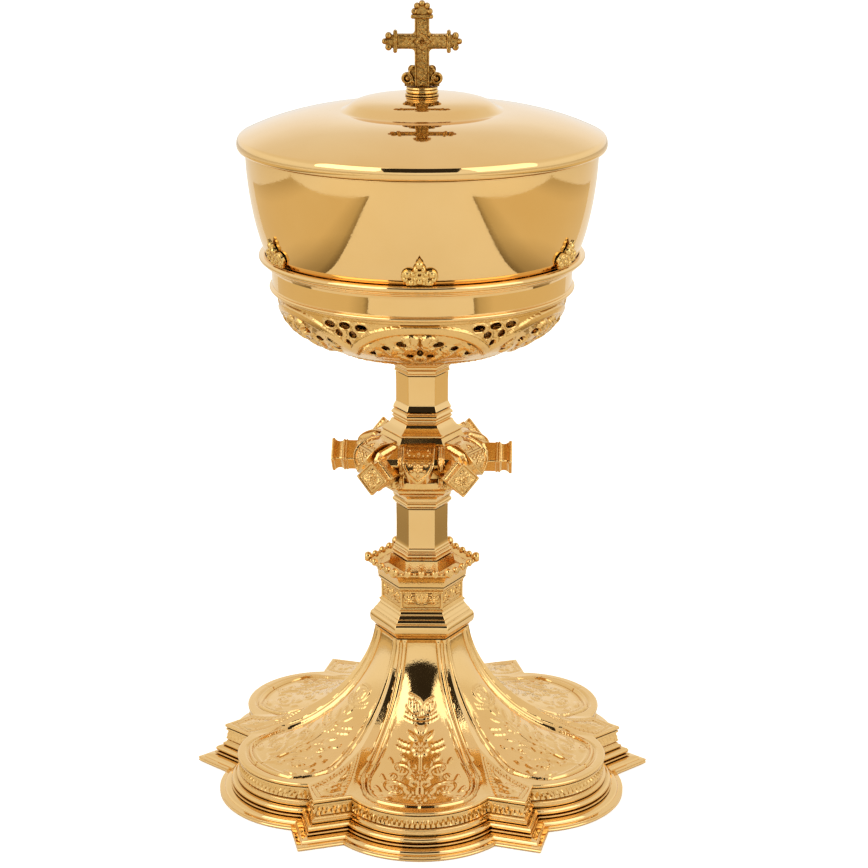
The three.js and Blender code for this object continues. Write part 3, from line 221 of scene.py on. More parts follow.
def softened(profile, reach=0.25, steps=3, closed=False):
    """A profile with its sharp corners turned into short curves."""
    points = [np.array(point, float) for point in profile]
    result = []
    for i, point in enumerate(points):
        if not closed and i in (0, len(points) - 1):
            result.append(point)
            continue
        back = points[i - 1] - point
        ahead = points[(i + 1) % len(points)] - point
        back_length, ahead_length = np.hypot(*back), np.hypot(*ahead)
        if min(back_length, ahead_length) < 1e-6:
            continue
        cosine = -np.dot(back, ahead) / (back_length * ahead_length)
        if cosine > math.cos(math.radians(18)):
            result.append(point)
            continue
        trim = min(reach, 0.4 * back_length, 0.4 * ahead_length)
        start = point + back / back_length * trim
        end = point + ahead / ahead_length * trim
        for t in np.linspace(0, 1, steps + 1):
            result.append((1 - t) ** 2 * start + 2 * t * (1 - t) * point + t ** 2 * end)
    return np.array(result)


def roll(radius, z, height, bulge, steps=12):
    turns = np.linspace(0, math.pi, steps + 1)
    return [(radius + bulge * math.sin(t), z + height * (1 - math.cos(t)) / 2) for t in turns]


def cove(start, end, steps=10):
    turns = np.linspace(0, math.pi / 2, steps + 1)
    (r0, z0), (r1, z1) = start, end
    return [(r0 + (r1 - r0) * (1 - math.cos(t)), z0 + (z1 - z0) * math.sin(t)) for t in turns]


def lathe(profile, steps=ROUND_STEPS, closed=True):
    """A round piece from a profile that closes on itself, or that starts and ends near the axis."""
    azimuths = np.arange(steps) * (2 * math.pi / steps)
    rings = [at(radius, azimuths, z) for radius, z in profile]
    return loft(rings, looped=closed)


def hexagon(corner, fillet=0.3, steps=3, along=6):
    """A hexagon's ring of (x, y) points, with its corners between the sides slightly rounded."""
    fillet = min(fillet, corner * 0.2)
    centre_reach = (corner * FLAT - fillet) / FLAT
    ring = []
    for k in range(SIDES):
        middle = HALF + k * SECTOR
        turns = middle + np.linspace(-HALF, HALF, steps + 1)
        arc = toward(middle) * centre_reach + fillet * toward(turns)
        following = toward(middle + SECTOR) * centre_reach + fillet * toward(middle + SECTOR - HALF)
        shares = np.linspace(0, 1, along + 1)[1:-1, None]
        ring.append(np.vstack([arc, arc[-1] + (following - arc[-1]) * shares]))
    return np.vstack(ring)


def hexagonal(profile, fillet=0.3, soft=0.22):
    """A hexagonal moulding from a profile of (corner radius, z)."""
    rings = []
    for corner, z in softened(profile, soft):
        ring = hexagon(corner, fillet)
        rings.append(np.column_stack([ring, np.full(len(ring), z)]))
    return loft(rings)


# Drawing in relief: fields are distances in millimetres, above zero inside a form

def smooth(value):
    value = np.clip(value, 0, 1)
    return value * value * (3 - 2 * value)


def swell(field, width):
    """A rounded rise, full at `width` in from a form's edge."""
    share = np.clip(field / width, 0, 1)
    return np.sqrt(np.maximum(0, 1 - (1 - share) ** 2))


def disc_field(x, y, centre, radius):
    return radius - np.hypot(x - centre[0], y - centre[1])


def leaf_field(x, y, centre, length, width, turn):
    """A pointed leaf, `turn` measured from +y towards +x."""
    dx, dy = x - centre[0], y - centre[1]
    along = dx * math.sin(turn) + dy * math.cos(turn)
    across = dx * math.cos(turn) - dy * math.sin(turn)
    share = np.clip(1 - (2 * along / length) ** 2, 0, 1)
    outside = np.maximum(np.abs(along) - length / 2, 0)
    return width / 2 * share - np.abs(across) - outside


def stroke_field(x, y, path, half_width):
    """A line drawn along a path of points."""
    path = np.asarray(path, float)
    nearest = np.full(np.shape(x), 1e9)
    for (x0, y0), (x1, y1) in zip(path[:-1], path[1:]):
        run = max((x1 - x0) ** 2 + (y1 - y0) ** 2, 1e-9)
        share = np.clip(((x - x0) * (x1 - x0) + (y - y0) * (y1 - y0)) / run, 0, 1)
        nearest = np.minimum(nearest, np.hypot(x - x0 - share * (x1 - x0), y - y0 - share * (y1 - y0)))
    return half_width - nearest


def polygon_field(x, y, corners):
    """Signed distance to a polygon, above zero inside."""
    corners = np.asarray(corners, float)
    edge = -stroke_field(x, y, np.vstack([corners, corners[:1]]), 0)
    inside = np.zeros(np.shape(x), bool)
    for (x0, y0), (x1, y1) in zip(corners, np.roll(corners, -1, axis=0)):
        if y0 == y1:
            continue
        crosses = ((y0 > y) != (y1 > y)) & (x < (x1 - x0) * (y - y0) / (y1 - y0) + x0)
        inside ^= crosses
    return np.where(inside, edge, -edge)


def spiral(centre, radius, start, turns, steps=22, hand=1):
    """A scroll's path, from its mouth in to its eye."""
    shares = np.linspace(0, 1, steps)
    angle = start + hand * shares * turns * 2 * math.pi
    reach = radius * (1 - 0.82 * shares)
    return np.column_stack([centre[0] + reach * np.sin(angle), centre[1] + reach * np.cos(angle)])


def rosette(x, y, centre, radius, petals=6, height=0.5, turn=0.0):
    """A flower with rounded petals round a button."""
    dx, dy = x - centre[0], y - centre[1]
    reach = np.hypot(dx, dy)
    angle = np.arctan2(dx, dy) - turn
    edge = radius * (0.72 + 0.28 * np.abs(np.cos(angle * petals / 2)))
    petal = swell(edge - reach, radius * 0.45) * (0.62 + 0.38 * np.abs(np.cos(angle * petals / 2)))
    hollow = 0.45 * np.exp(-((reach - radius * 0.34) / (radius * 0.1)) ** 2)
    button = swell(radius * 0.28 - reach, radius * 0.28)
    return height * np.maximum(petal * (1 - hollow), button)


def leaf(x, y, centre, length, width, turn, height=0.45):
    """A leaf with a sunk vein."""
    dx, dy = x - centre[0], y - centre[1]
    across = dx * math.cos(turn) - dy * math.sin(turn)
    field = leaf_field(x, y, centre, length, width, turn)
    vein = 1 - 0.5 * np.exp(-(across / (0.09 * width + 0.12)) ** 2)
    return height * swell(field, width * 0.35) * vein


# Plates cut to a drawn outline

def cut_out(field, u, v, wrap=False):
    """The triangles of a grid where the field is above zero, cut clean along its edge."""
    rows, columns = field.shape
    quads = grid_faces(rows, columns, wrap_columns=wrap)
    triangles = np.vstack([quads[:, [0, 1, 2]], quads[:, [0, 2, 3]]])
    f, u, v = field.ravel(), u.ravel(), v.ravel()
    inside = f[triangles] > 0
    count = inside.sum(axis=1)

    def with_first(chosen, first):
        return triangles[chosen][np.arange(len(first))[:, None], (first[:, None] + np.arange(3)) % 3]

    two = with_first(count == 2, np.argmin(inside[count == 2], axis=1))
    one = with_first(count == 1, np.argmax(inside[count == 1], axis=1))
    crossed = np.vstack([two[:, [0, 1]], two[:, [0, 2]], one[:, [0, 1]], one[:, [0, 2]]])
    edges, index = np.unique(np.sort(crossed, axis=1), axis=0, return_inverse=True)
    index = index.ravel() + len(f)
    i, j = edges.T
    share = np.clip(f[i] / (f[i] - f[j]), 0.03, 0.97)
    step = u[j] - u[i]
    if wrap:
        step = (step + math.pi) % (2 * math.pi) - math.pi
    u = np.concatenate([u, u[i] + step * share])
    v = np.concatenate([v, v[i] + (v[j] - v[i]) * share])
    a, b, c, d = np.split(index, np.cumsum([len(two), len(two), len(one)]))
    kept = np.vstack([
        triangles[count == 3],
        np.column_stack([a, two[:, 1], two[:, 2]]),
        np.column_stack([a, two[:, 2], b]),
        np.column_stack([one[:, 0], c, d]),
    ])
    used, kept = np.unique(kept, return_inverse=True)
    return u[used], v[used], kept.reshape(-1, 3)


def plate(front, back, triangles):
    """A closed plate between two faces that share their triangles."""
    count = len(front)
    ways = np.vstack([triangles[:, [0, 1]], triangles[:, [1, 2]], triangles[:, [2, 0]]])
    key = ways[:, 0] * count + ways[:, 1]
    other = ways[:, 1] * count + ways[:, 0]
    rim = ways[~np.isin(key, other)]
    walls = np.column_stack([rim[:, 1], rim[:, 0], rim[:, 0] + count, rim[:, 1] + count])
    return np.vstack([front, back]), [np.vstack([triangles, triangles[:, ::-1] + count]), walls]


def flat_grid(x0, x1, y0, y1, step):
    xs = np.linspace(x0, x1, int((x1 - x0) / step) + 1)
    ys = np.linspace(y0, y1, int((y1 - y0) / step) + 1)
    return np.meshgrid(xs, ys)


# Foot

LOBE_CENTRE = LOBE_REACH - LOBE_RADIUS
across = LOBE_CENTRE * math.sin(JUNCTION_ANGLE)
junction = toward(JUNCTION_ANGLE) * (
    LOBE_CENTRE * math.cos(JUNCTION_ANGLE) + math.sqrt(LOBE_RADIUS ** 2 - across ** 2))
tip = toward(HALF) * TIP_REACH
FLANK = (tip - junction) / np.hypot(*(tip - junction))
FLANK_OUT = np.array([FLANK[1], -FLANK[0]])
FLANK_OUT = FLANK_OUT * np.sign(np.dot(FLANK_OUT, junction))


def junction_azimuth(inset):
    """Where the lobe's arc meets the straight flank of the pointed corner."""
    offset = np.dot(FLANK_OUT, junction) - inset - np.dot(FLANK_OUT, toward(0) * LOBE_CENTRE)
    end = FLANK_OUT * offset + FLANK * math.sqrt((LOBE_RADIUS - inset) ** 2 - offset ** 2)
    point = toward(0) * LOBE_CENTRE + end
    return math.atan2(point[0], -point[1])


def foot_reach(azimuth, inset):
    """How far the foot's outline, moved in by an inset, reaches at an azimuth in the front sector."""
    side = np.abs(azimuth)
    inside = np.maximum((LOBE_RADIUS - inset) ** 2 - (LOBE_CENTRE * np.sin(side)) ** 2, 0)
    lobe = LOBE_CENTRE * np.cos(side) + np.sqrt(inside)
    flank = (np.dot(FLANK_OUT, junction) - inset) / (toward(side) @ FLANK_OUT)
    return np.where(side < junction_azimuth(inset), lobe, flank)


def foot_azimuths(inset, lobe_steps, flank_steps):
    """Azimuths from one pointed corner to the next, dense enough for the frieze."""
    bend = junction_azimuth(inset)
    lobe = np.linspace(-bend, bend, lobe_steps + 1)
    flank = np.linspace(bend, HALF, flank_steps + 1)[1:]
    return np.concatenate([-flank[:-1][::-1], lobe, flank])


def foot_ring(inset, z, lobe_steps=150, flank_steps=34):
    azimuth = foot_azimuths(inset, lobe_steps, flank_steps)
    ring = at(foot_reach(azimuth, inset), azimuth, z)
    return np.vstack([turned_about_z(ring, k * SECTOR) for k in range(SIDES)])


def foot_flange():
    low = foot_of("foot_flange")
    high = top_of("foot_flange")
    wall = PLINTH_INSET + 3.4
    profile = [
        (0.5, low), (0, low + 0.5), (0, low + 0.95), (0.28, low + 1.2), (0, low + 1.45),
        (0, low + 2.15), (1.7, low + 2.15), (1.8, low + 2.6), (2.2, high - 0.3), (3.4, high - 0.02),
        (wall, high), (wall, low),
    ]
    rings = [foot_ring(inset, z, 90, 14) for inset, z in softened(profile, 0.2, 3, closed=True)]
    return Body(loft(rings, looped=True))


FRIEZE_PITCH = 1.9


def foot_plinth():
    low = foot_of("foot_plinth")
    high = top_of("foot_plinth")
    wall = PLINTH_INSET + 3.4
    lower = [
        (4.5, low), (4.3, low + 0.25), (4.35, low + 0.7), (5.1, low + 0.75),
        *[(11.9 - radius, z) for radius, z in roll(5.9, low + 0.8, 2.35, 1.35)],
        (7.1, low + 3.2), (7.1, low + 3.45), (6.6, low + 3.5), (6.6, low + 4.45), (7.35, low + 4.75),
    ]
    frieze = [(PLINTH_INSET, z) for z in np.linspace(low + 4.95, high - 0.35, 15)]
    upper = [(PLINTH_INSET, high), (wall, high), (wall, low)]
    rings = []
    for inset, z in softened(lower, 0.16, 2):
        rings.append(foot_ring(inset, z))
    for inset, z in frieze:
        azimuth = foot_azimuths(inset, 150, 34)
        reach = foot_reach(azimuth, inset)
        path = at(reach, azimuth, 0)
        run = np.concatenate([[0], np.cumsum(np.hypot(*np.diff(path[:, :2], axis=0).T))])
        run = run - run[len(run) // 2]
        height = (z - frieze[0][1]) / (frieze[-1][1] - frieze[0][1])
        wave = np.abs(run / FRIEZE_PITCH % 1 - 0.5) * 2
        band = (height - 0.2) / 0.6
        tooth = smooth((1 - wave - band) * 2.6 + 0.5) if 0 < band < 1 else np.zeros(len(run))
        sunk = 0.0 if height < 0.14 or height > 0.86 else -0.7 + 0.8 * tooth
        ring = at(reach + sunk, azimuth, z)
        rings.append(np.vstack([turned_about_z(ring, k * SECTOR) for k in range(SIDES)]))
    for inset, z in upper:
        rings.append(foot_ring(inset, z))
    return Body(loft(rings, looped=True))


def sweep_curve(t):
    """The foot's sweep, (share out to the rim, share of the height)."""
    s = 1 - t
    out = s ** 3 + 3 * s ** 2 * t * 0.35 + 3 * s * t ** 2 * 0.03
    up = 3 * s * t ** 2 * 0.62 + t ** 3
    return out, up


def panel_relief(x, y, half_width, variant):
    """Leaves, scrolls and flowers for a long field; y runs up from the field's foot."""
    height = np.zeros(np.shape(x))
    side = np.abs(x)
    above = y
    y = y / 0.8
    stems = [
        [(0, 3), (0.4, 12), (0, 22), (0, 34)],
        spiral((9.6, 12.0), 6.6, math.pi * 1.25, 1.5, hand=1),
        spiral((7.0, 25.5), 4.4, math.pi * 1.3, 1.4, hand=1),
        [(0, 6), (2.6, 6.5), (5.0, 7.4)],
        [(0, 19), (2.0, 20.6), (4.0, 22.2)],
    ]
    for path in stems:
        height = np.maximum(height, 0.42 * swell(stroke_field(side, y, path, 0.62), 0.62))
    leaves = [
        ((17.0, 9.0), 6.5, 3.4, 1.1), ((15.2, 17.5), 7.0, 3.6, 0.7), ((10.4, 20.2), 5.4, 2.8, -0.4),
        ((4.0, 12.4), 6.0, 2.7, 0.55), ((3.0, 29.5), 5.4, 2.5, 0.5), ((12.2, 28.8), 5.4, 2.6, 0.8),
        ((12.8, 4.2), 6.0, 2.8, 1.7), ((6.6, 33.2), 4.8, 2.3, 0.9), ((2.4, 17.0), 3.8, 1.9, 0.9),
    ]
    for centre, length, width, turn in leaves:
        height = np.maximum(height, leaf(side, y, centre, length, width, turn, 0.5))
    for centre, radius in [((9.6, 12.0), 2.4), ((7.0, 25.5), 1.8)]:
        height = np.maximum(height, rosette(side, y, centre, radius, 5, 0.55))
    for centre, radius in [((17.8, 13.4), 0.9), ((14.0, 24.0), 0.8), ((3.4, 24.0), 0.7), ((18.2, 5.6), 0.8)]:
        height = np.maximum(height, 0.45 * swell(disc_field(side, y, centre, radius), radius))
    height = np.maximum(height, rosette(x, y, (0, 22.0), 4.6, 8, 0.62))
    height = np.maximum(height, rosette(x, y, (0, 7.0), 3.0, 6, 0.55, 0.3)) * (above < 27.5)
    y = above
    band = smooth((0.6 - np.abs(np.abs(y - 31.2) - 1.4)) / 0.3) * (side > 3.9)
    height = np.maximum(height, 0.4 * band * smooth(half_width - 1.5 - side))
    height = np.maximum(height, rosette(x, y, (0, 31.2), 3.5, 8, 0.55))
    bars = np.minimum(np.abs(y - 42.6), np.abs(y - 44.4))
    height = np.maximum(height, 0.34 * smooth((0.45 - bars) / 0.3) * smooth(half_width - 1.5 - side))
    for centre, radius in [((-3.0, 48.8), 3.6), ((3.5, 48.2), 2.7)] if variant else [((0, 48.2), 3.9)]:
        ring = 0.45 - np.abs(np.hypot(x - centre[0], y - centre[1]) - radius)
        height = np.maximum(height, 0.4 * swell(ring, 0.45))
        height = np.maximum(height, rosette(x, y, centre, radius * 0.66, 6, 0.42))
    for centre, length, width, turn in [((3.2, 36.6), 5.6, 2.4, 0.9), ((1.4, 40.0), 4.4, 1.8, 0.4)]:
        height = np.maximum(height, leaf(side, y, centre, length, width, turn, 0.45))
    return height * smooth((half_width - 1.2 - side) / 0.8)


def corner_relief(r, x):
    """The sunk kite on a pointed corner, with a flower in it; r runs out from the axis."""
    kite = polygon_field(r, x, [(44.5, 0), (68.0, -7.9), (74.4, 0), (68.0, 7.9)])
    line = -0.34 * smooth(kite / 0.25) * smooth((1.15 - kite) / 0.25)
    field = -0.42 * smooth((kite - 1.7) / 0.3)
    flower = rosette(r, x, (65.0, 0), 3.6, 6, 0.55)
    bud = leaf(r, x, (56.5, 0), 6.0, 2.6, math.pi / 2, 0.45)
    dots = [0.4 * swell(disc_field(r, np.abs(x), centre, 0.6), 0.6) for centre in [(61.4, 3.6), (69.6, 2.6), (67.6, 4.6)]]
    inner = np.maximum.reduce([flower, bud, *dots]) * smooth((kite - 1.9) / 0.4)
    return line + field + inner


SWEEP_COLUMNS = 75                   # in half a sector
SWEEP_ROWS = 170


def sweep_sector(k):
    """One lobe of the foot's top, worked in relief."""
    rim_z = foot_of("foot_sweep") + 1.5
    rise = top_of("foot_sweep") - rim_z
    bend = junction_azimuth(RIM_INSET)
    inner_count = int(SWEEP_COLUMNS * bend / HALF)
    half_side = np.concatenate([
        np.linspace(0, bend, inner_count + 1)[:-1],
        np.linspace(bend, HALF, SWEEP_COLUMNS - inner_count + 1),
    ])
    azimuth = np.concatenate([-half_side[:0:-1], half_side])
    fine = np.linspace(0, 1, 800)
    out, up = sweep_curve(fine)
    length = np.concatenate([[0], np.cumsum(np.hypot(np.diff(out) * 60, np.diff(up) * rise))])
    t = np.interp(np.linspace(0, length[-1], SWEEP_ROWS), length, fine)[:, None]
    out, up = sweep_curve(t)
    hexagon_reach = SWEEP_TOP_CORNER * FLAT / np.cos(azimuth)[None, :]
    radius = hexagon_reach + (foot_reach(azimuth, RIM_INSET)[None, :] - hexagon_reach) * out
    points = at(radius, azimuth[None, :], rim_z + rise * up)
    along = np.gradient(points, axis=0)
    across_way = np.gradient(points, axis=1)
    normal = np.cross(across_way, along)
    normal /= np.linalg.norm(normal, axis=-1, keepdims=True)
    steps = np.linalg.norm(np.diff(points, axis=0), axis=-1)
    path = np.vstack([np.zeros(len(azimuth)), np.cumsum(steps, axis=0)])

    share = np.linspace(0, 1, SWEEP_ROWS)
    foot_line = np.array([np.interp(0.955, 1 - t[::-1, 0], path[::-1, c]) for c in range(len(azimuth))])
    widened = PANEL_HALF_ANGLE * (1 + 0.09 * smooth((1 - share[:, None]) / 0.6))
    to_side = (widened - np.abs(azimuth)[None, :]) * radius
    to_foot = path - foot_line[None, :]
    corner = 12.0
    field = np.where(
        (to_side < corner) & (to_foot < corner),
        corner - np.hypot(corner - to_side, corner - to_foot),
        np.minimum(to_side, to_foot))
    height = 0.35 * swell(0.6 - np.abs(field + 0.55), 0.5) - 0.5 * swell(0.65 - np.abs(field + 1.75), 0.6)
    height = height - 0.7 * smooth(field / 0.5)
    height = height + 0.3 * smooth((field - 1.2) / 0.3) * smooth((2.0 - field) / 0.3) * smooth((40 - to_foot) / 6)
    lateral = azimuth[None, :] * radius
    half_width = PANEL_HALF_ANGLE * radius - 1.8
    worked = panel_relief(lateral, to_foot, half_width, k % 2 == 0)
    height = height + worked * smooth((field - 0.9) / 0.5)
    beside = HALF - np.abs(azimuth)
    height = height + corner_relief(radius * np.cos(beside), radius * np.sin(beside) * np.sign(azimuth))
    fade = smooth(share / 0.02)[:, None] * smooth((1 - share) / 0.02)[:, None]
    points = points + normal * (height * fade)[..., None]
    return points[:, :-1], radius[:, :-1], azimuth[:-1]


def foot_sweep():
    low = foot_of("foot_sweep")
    high = top_of("foot_sweep")
    sectors = [sweep_sector(k) for k in range(SIDES)]
    outer = np.concatenate([turned_about_z(sectors[k][0], k * SECTOR) for k in range(SIDES)], axis=1)
    azimuth = np.concatenate([sectors[k][2] + k * SECTOR for k in range(SIDES)])
    reach = np.tile(foot_reach(sectors[0][2], RIM_INSET), SIDES)
    base_radius = np.tile(sectors[0][1], (1, SIDES))
    rim = [at(reach + bulge, azimuth, z) for bulge, z in roll(0, low, 1.5, 0.75, 8)[:-1]]
    bore = [at(2.9, azimuth, high), at(2.9, azimuth, high - 2.6)]
    under = []
    for row in np.linspace(SWEEP_ROWS - 1, 0, 22).astype(int):
        z = outer[row, 0, 2] - FOOT_SHEET
        if low < z < high - 3.0:
            under.append(at(np.minimum(base_radius[row], reach - 3.4) - FOOT_SHEET * 0.75, azimuth, z))
    ceiling = under[0].copy()
    ceiling[:, 2] = high - 2.6
    rings = [*rim, *outer, *bore, ceiling, *under, at(reach - 3.4, azimuth, low)]
    return Body(loft(rings, looped=True))


# Stem

def stem_collar():
    z = foot_of("stem_collar")
    profile = [
        (17.9, z), (18.3, z + 0.3), (18.5, z + 0.9), (18.9, z + 1.0), *roll(18.75, z + 1.1, 5.0, 1.35, 16),
        (18.6, z + 6.2), (18.6, z + 6.5), (17.9, z + 7.5), (17.5, z + 7.6), (17.4, z + 7.9), (16.7, z + 8.9),
        (16.4, z + 9.0), (16.4, z + 9.3), (15.9, z + 10.1),
    ]
    return Body(hexagonal(profile, soft=0.14))


def frieze_drum():
    z0 = foot_of("frieze_drum")
    z1 = top_of("frieze_drum")
    low = z0 + 0.7
    high = z1 - 1.7
    middle = (low + high) / 2
    profile = [
        (16.5, z0), (16.5, z0 + 0.35), (16.1, z0 + 0.6), (15.65, z0 + 1.0), (15.6, z0 + 1.3), (15.6, high - 0.4),
        (15.75, high + 0.1), (16.2, high + 0.5), (16.3, high + 0.9), (16.7, high + 1.1), (16.8, z1),
    ]

    def relief(x, z, corner):
        side = np.abs(x) / 1.15
        y = z - middle
        depth = np.minimum(corner / 2 - 0.6 - np.abs(x), np.minimum(z - low, high - z) - 0.6)
        fan = np.maximum.reduce([
            leaf(side, y, (0, 0.35), 4.0, 1.6, 0, 0.6),
            leaf(side, y, (1.15, 0.1), 3.9, 1.3, 0.6, 0.55),
            leaf(side, y, (1.8, -0.8), 3.2, 1.1, 1.25, 0.5),
            leaf(side, y, (5.3, 1.2), 2.6, 1.1, 0.5, 0.5),
            leaf(side, y, (2.6, 2.2), 2.6, 1.0, 1.4, 0.45),
            rosette(side, y, (4.1, 0.1), 1.5, 5, 0.55),
            0.45 * swell(stroke_field(side, y, [(0, -1.8), (2.2, -1.6), (4.2, -1.6), (5.4, -0.9)], 0.3), 0.3),
            0.45 * swell(stroke_field(side, y, spiral((2.9, 1.0), 1.0, 0, 1.1, 12), 0.26), 0.26),
        ])
        pearls = 0.35 * swell(0.33 - np.hypot(np.mod(x, 0.9) - 0.45, z - high + 0.42), 0.33)
        return -0.5 * smooth(depth / 0.25) + fan * smooth((depth - 0.15) / 0.3) + pearls * (side < corner / 2 - 1)

    return Body(side_worked(dense(profile, 0.17), relief, 110))


CREST_COUNT = 4


def gallery_crown():
    z = foot_of("gallery_crown")
    lip = 21.2
    profile = [
        (16.6, z), (16.9, z + 0.1), *cove((16.9, z + 0.3), (lip - 0.5, z + 5.2)), (lip, z + 5.5),
        (lip + 0.1, z + 6.2), (lip - 0.5, z + 6.5), (lip - 1.3, z + 6.3), (18.6, z + 4.9), (15.0, z + 4.2),
        (12.9, z + 4.6), (12.4, z + 6.0), (11.8, z + 8.8),
    ]
    body = Body(hexagonal(profile, fillet=0.35))
    start, end = toward(-HALF) * (lip - 0.6), toward(HALF) * (lip - 0.6)
    for k in range(SIDES):
        for i in range(CREST_COUNT):
            corner = i == 0
            x, y = start + (end - start) * i / CREST_COUNT
            body.add(bead((x, y, z + (7.1 if corner else 6.5)), 1.75 if corner else 1.35, k * SECTOR))
            x, y = start + (end - start) * (i + 0.5) / CREST_COUNT
            body.add(bead((x, y, z + 6.2), 0.8, k * SECTOR))
    return body


def bead(centre, radius, turn=0.0, steps=24, rows=14):
    """A knob with a pit in its outward face."""
    azimuths = np.arange(steps) * (2 * math.pi / steps)
    outward = np.array([centre[0], centre[1], 0.0]) / math.hypot(centre[0], centre[1])
    rings = []
    for polar in np.linspace(0.06, math.pi - 0.06, rows)[::-1]:
        way = at(math.sin(polar), azimuths, math.cos(polar))
        pit = smooth((way @ outward - 0.72) / 0.26)
        ring = way * (radius * (1 - 0.4 * pit))[:, None] * (1, 1, 1.12)
        rings.append(turned_about_z(ring + np.array(centre), turn))
    return loft(rings)


def lower_shaft():
    z = foot_of("lower_shaft")
    top = top_of("lower_shaft")
    profile = [
        (11.3, z), (11.3, z + 0.35), (10.9, z + 0.5), *roll(10.75, z + 0.6, 1.5, 0.45), (10.5, z + 2.25),
        (10.5, z + 2.55), (10.9, z + 2.65), (10.9, z + 3.15), (10.4, z + 3.3), *cove((10.35, z + 3.4), (9.9, z + 4.4)),
        (9.82, z + 6), (9.8, top - 8), (9.86, top),
    ]
    return Body(hexagonal(profile))


def knop_lower_neck():
    z = foot_of("knop_lower_neck")
    top = top_of("knop_lower_neck")
    profile = [
        (9.9, z), (10.3, z + 0.2), (10.3, z + 0.6), (10.7, z + 0.7), *roll(10.6, z + 0.85, 1.7, 0.65),
        (10.6, z + 2.7), (10.6, z + 2.95), *cove((10.9, z + 3.2), (13.2, top - 0.7)), (13.6, top - 0.6), (13.8, top),
    ]
    return Body(hexagonal(profile))


def knop_upper_neck():
    z = foot_of("knop_upper_neck")
    top = top_of("knop_upper_neck")
    profile = [
        (14.9, z), (15.0, z + 0.25), (15.0, z + 0.7), (14.5, z + 0.9), (13.2, z + 1.8), (12.1, z + 3.0),
        (11.5, z + 4.2), (10.6, z + 4.35), (10.6, z + 4.6), *roll(10.7, z + 4.75, 1.3, 0.55), (10.6, z + 6.15),
        (10.6, z + 6.35), (11.6, z + 6.5), (11.6, z + 6.9), (11.1, z + 7.7), (10.6, z + 7.9), (11.0, top),
    ]
    return Body(hexagonal(profile))


def upper_shaft():
    z = foot_of("upper_shaft")
    top = top_of("upper_shaft")
    profile = [(10.9, z), (9.85, z + 2.0), (9.8, z + 2.6), (9.8, top - 3), (9.96, top)]
    return Body(hexagonal(profile))


def stem_capital():
    z = foot_of("stem_capital")
    top = top_of("stem_capital")
    profile = [
        (10.05, z), (10.4, z + 0.2), (10.4, z + 0.7), (10.0, z + 0.8), *cove((10.15, z + 0.95), (10.7, z + 2.2)),
        (11.0, z + 2.4), *roll(10.75, z + 2.5, 1.4, 0.55), (10.7, z + 4.1), (10.9, z + 4.3), (11.6, top),
    ]
    return Body(hexagonal(profile))


# Knop

def side_worked(profile, relief, columns=72):
    """A hexagonal piece from rows of (corner radius, z), each side raised by relief(x, z, radius)."""
    profile = np.asarray(profile, float)
    way = np.gradient(profile * (FLAT, 1), axis=0)
    way /= np.hypot(way[:, 0], way[:, 1])[:, None] + 1e-9
    rings = []
    for (corner, z), (way_r, way_z) in zip(profile, way):
        x = np.linspace(-corner / 2, corner / 2, columns + 1)[:-1]
        raised = relief(x, np.full(columns, z), corner)
        side = np.column_stack([x, -corner * FLAT - raised * way_z, z - raised * way_r])
        rings.append(np.vstack([turned_about_z(side, k * SECTOR) for k in range(SIDES)]))
    return loft(rings)


def dense(profile, step):
    """More points along a profile's straight runs, no further apart than a step."""
    result = []
    for (r0, z0), (r1, z1) in zip(profile[:-1], profile[1:]):
        count = max(1, int(math.hypot(r1 - r0, z1 - z0) / step))
        result += [(r0 + (r1 - r0) * i / count, z0 + (z1 - z0) * i / count) for i in range(count)]
    return [*result, tuple(profile[-1])]


def knop_body():
    z = foot_of("knop_body")
    top = z + KNOP_HEIGHT
    roof = top - KNOP_TOP_BLOCK
    edge = roof - KNOP_ROOF_FALL
    profile = softened([
        (14.6, z), (16.2, z + 0.35), (16.6, z + 0.9), *cove((17.4, z + 1.4), (20.8, z + 4.2)), (21.3, z + 4.6),
        (21.3, z + 7.2), (20.9, z + 7.6), (20.1, z + 7.9), (20.0, z + 10.3), (25.0, edge - 3.9), (25.9, edge - 2.9),
        (KNOP_BREAST_CORNER, edge - 2.2), (KNOP_ROOF_CORNER, edge), (KNOP_TOP_CORNER + 1.3, roof),
        (KNOP_TOP_CORNER, top),
    ], 0.3)

    def relief(x, level, corner):
        side = np.abs(x)
        upper = level[0] > z + 7.4
        if not upper:
            block = smooth((level - z - 2.6) / 0.8) * smooth((z + 7.3 - level) / 0.5)
            cushion = 0.7 * np.sqrt(np.maximum(0, 1 - (side / 7.2) ** 2))
            curl = rosette(side, level, (8.2, z + 5.8), 1.5, 5, 0.7)
            lobe = 0.5 * swell(disc_field(side, level, (9.0, z + 3.9), 0.9), 0.9)
            return block * np.maximum.reduce([cushion, curl, lobe])
        frame_band = smooth((side - 6.0) / 0.35) * smooth((8.5 - side) / 0.5)
        flutes = 0.16 * np.cos((side - 7.25) * 2 * math.pi / 0.8)
        recess = (KNOP_BREAST_CORNER - corner) * FLAT if level[0] < edge - 2.2 else 0.0
        near_top = smooth((roof - 0.25 - level) / 0.8)
        return frame_band * near_top * (0.9 * recess + 1.25 + flutes)

    return Body(side_worked(dense(profile, 0.32), relief, 120))


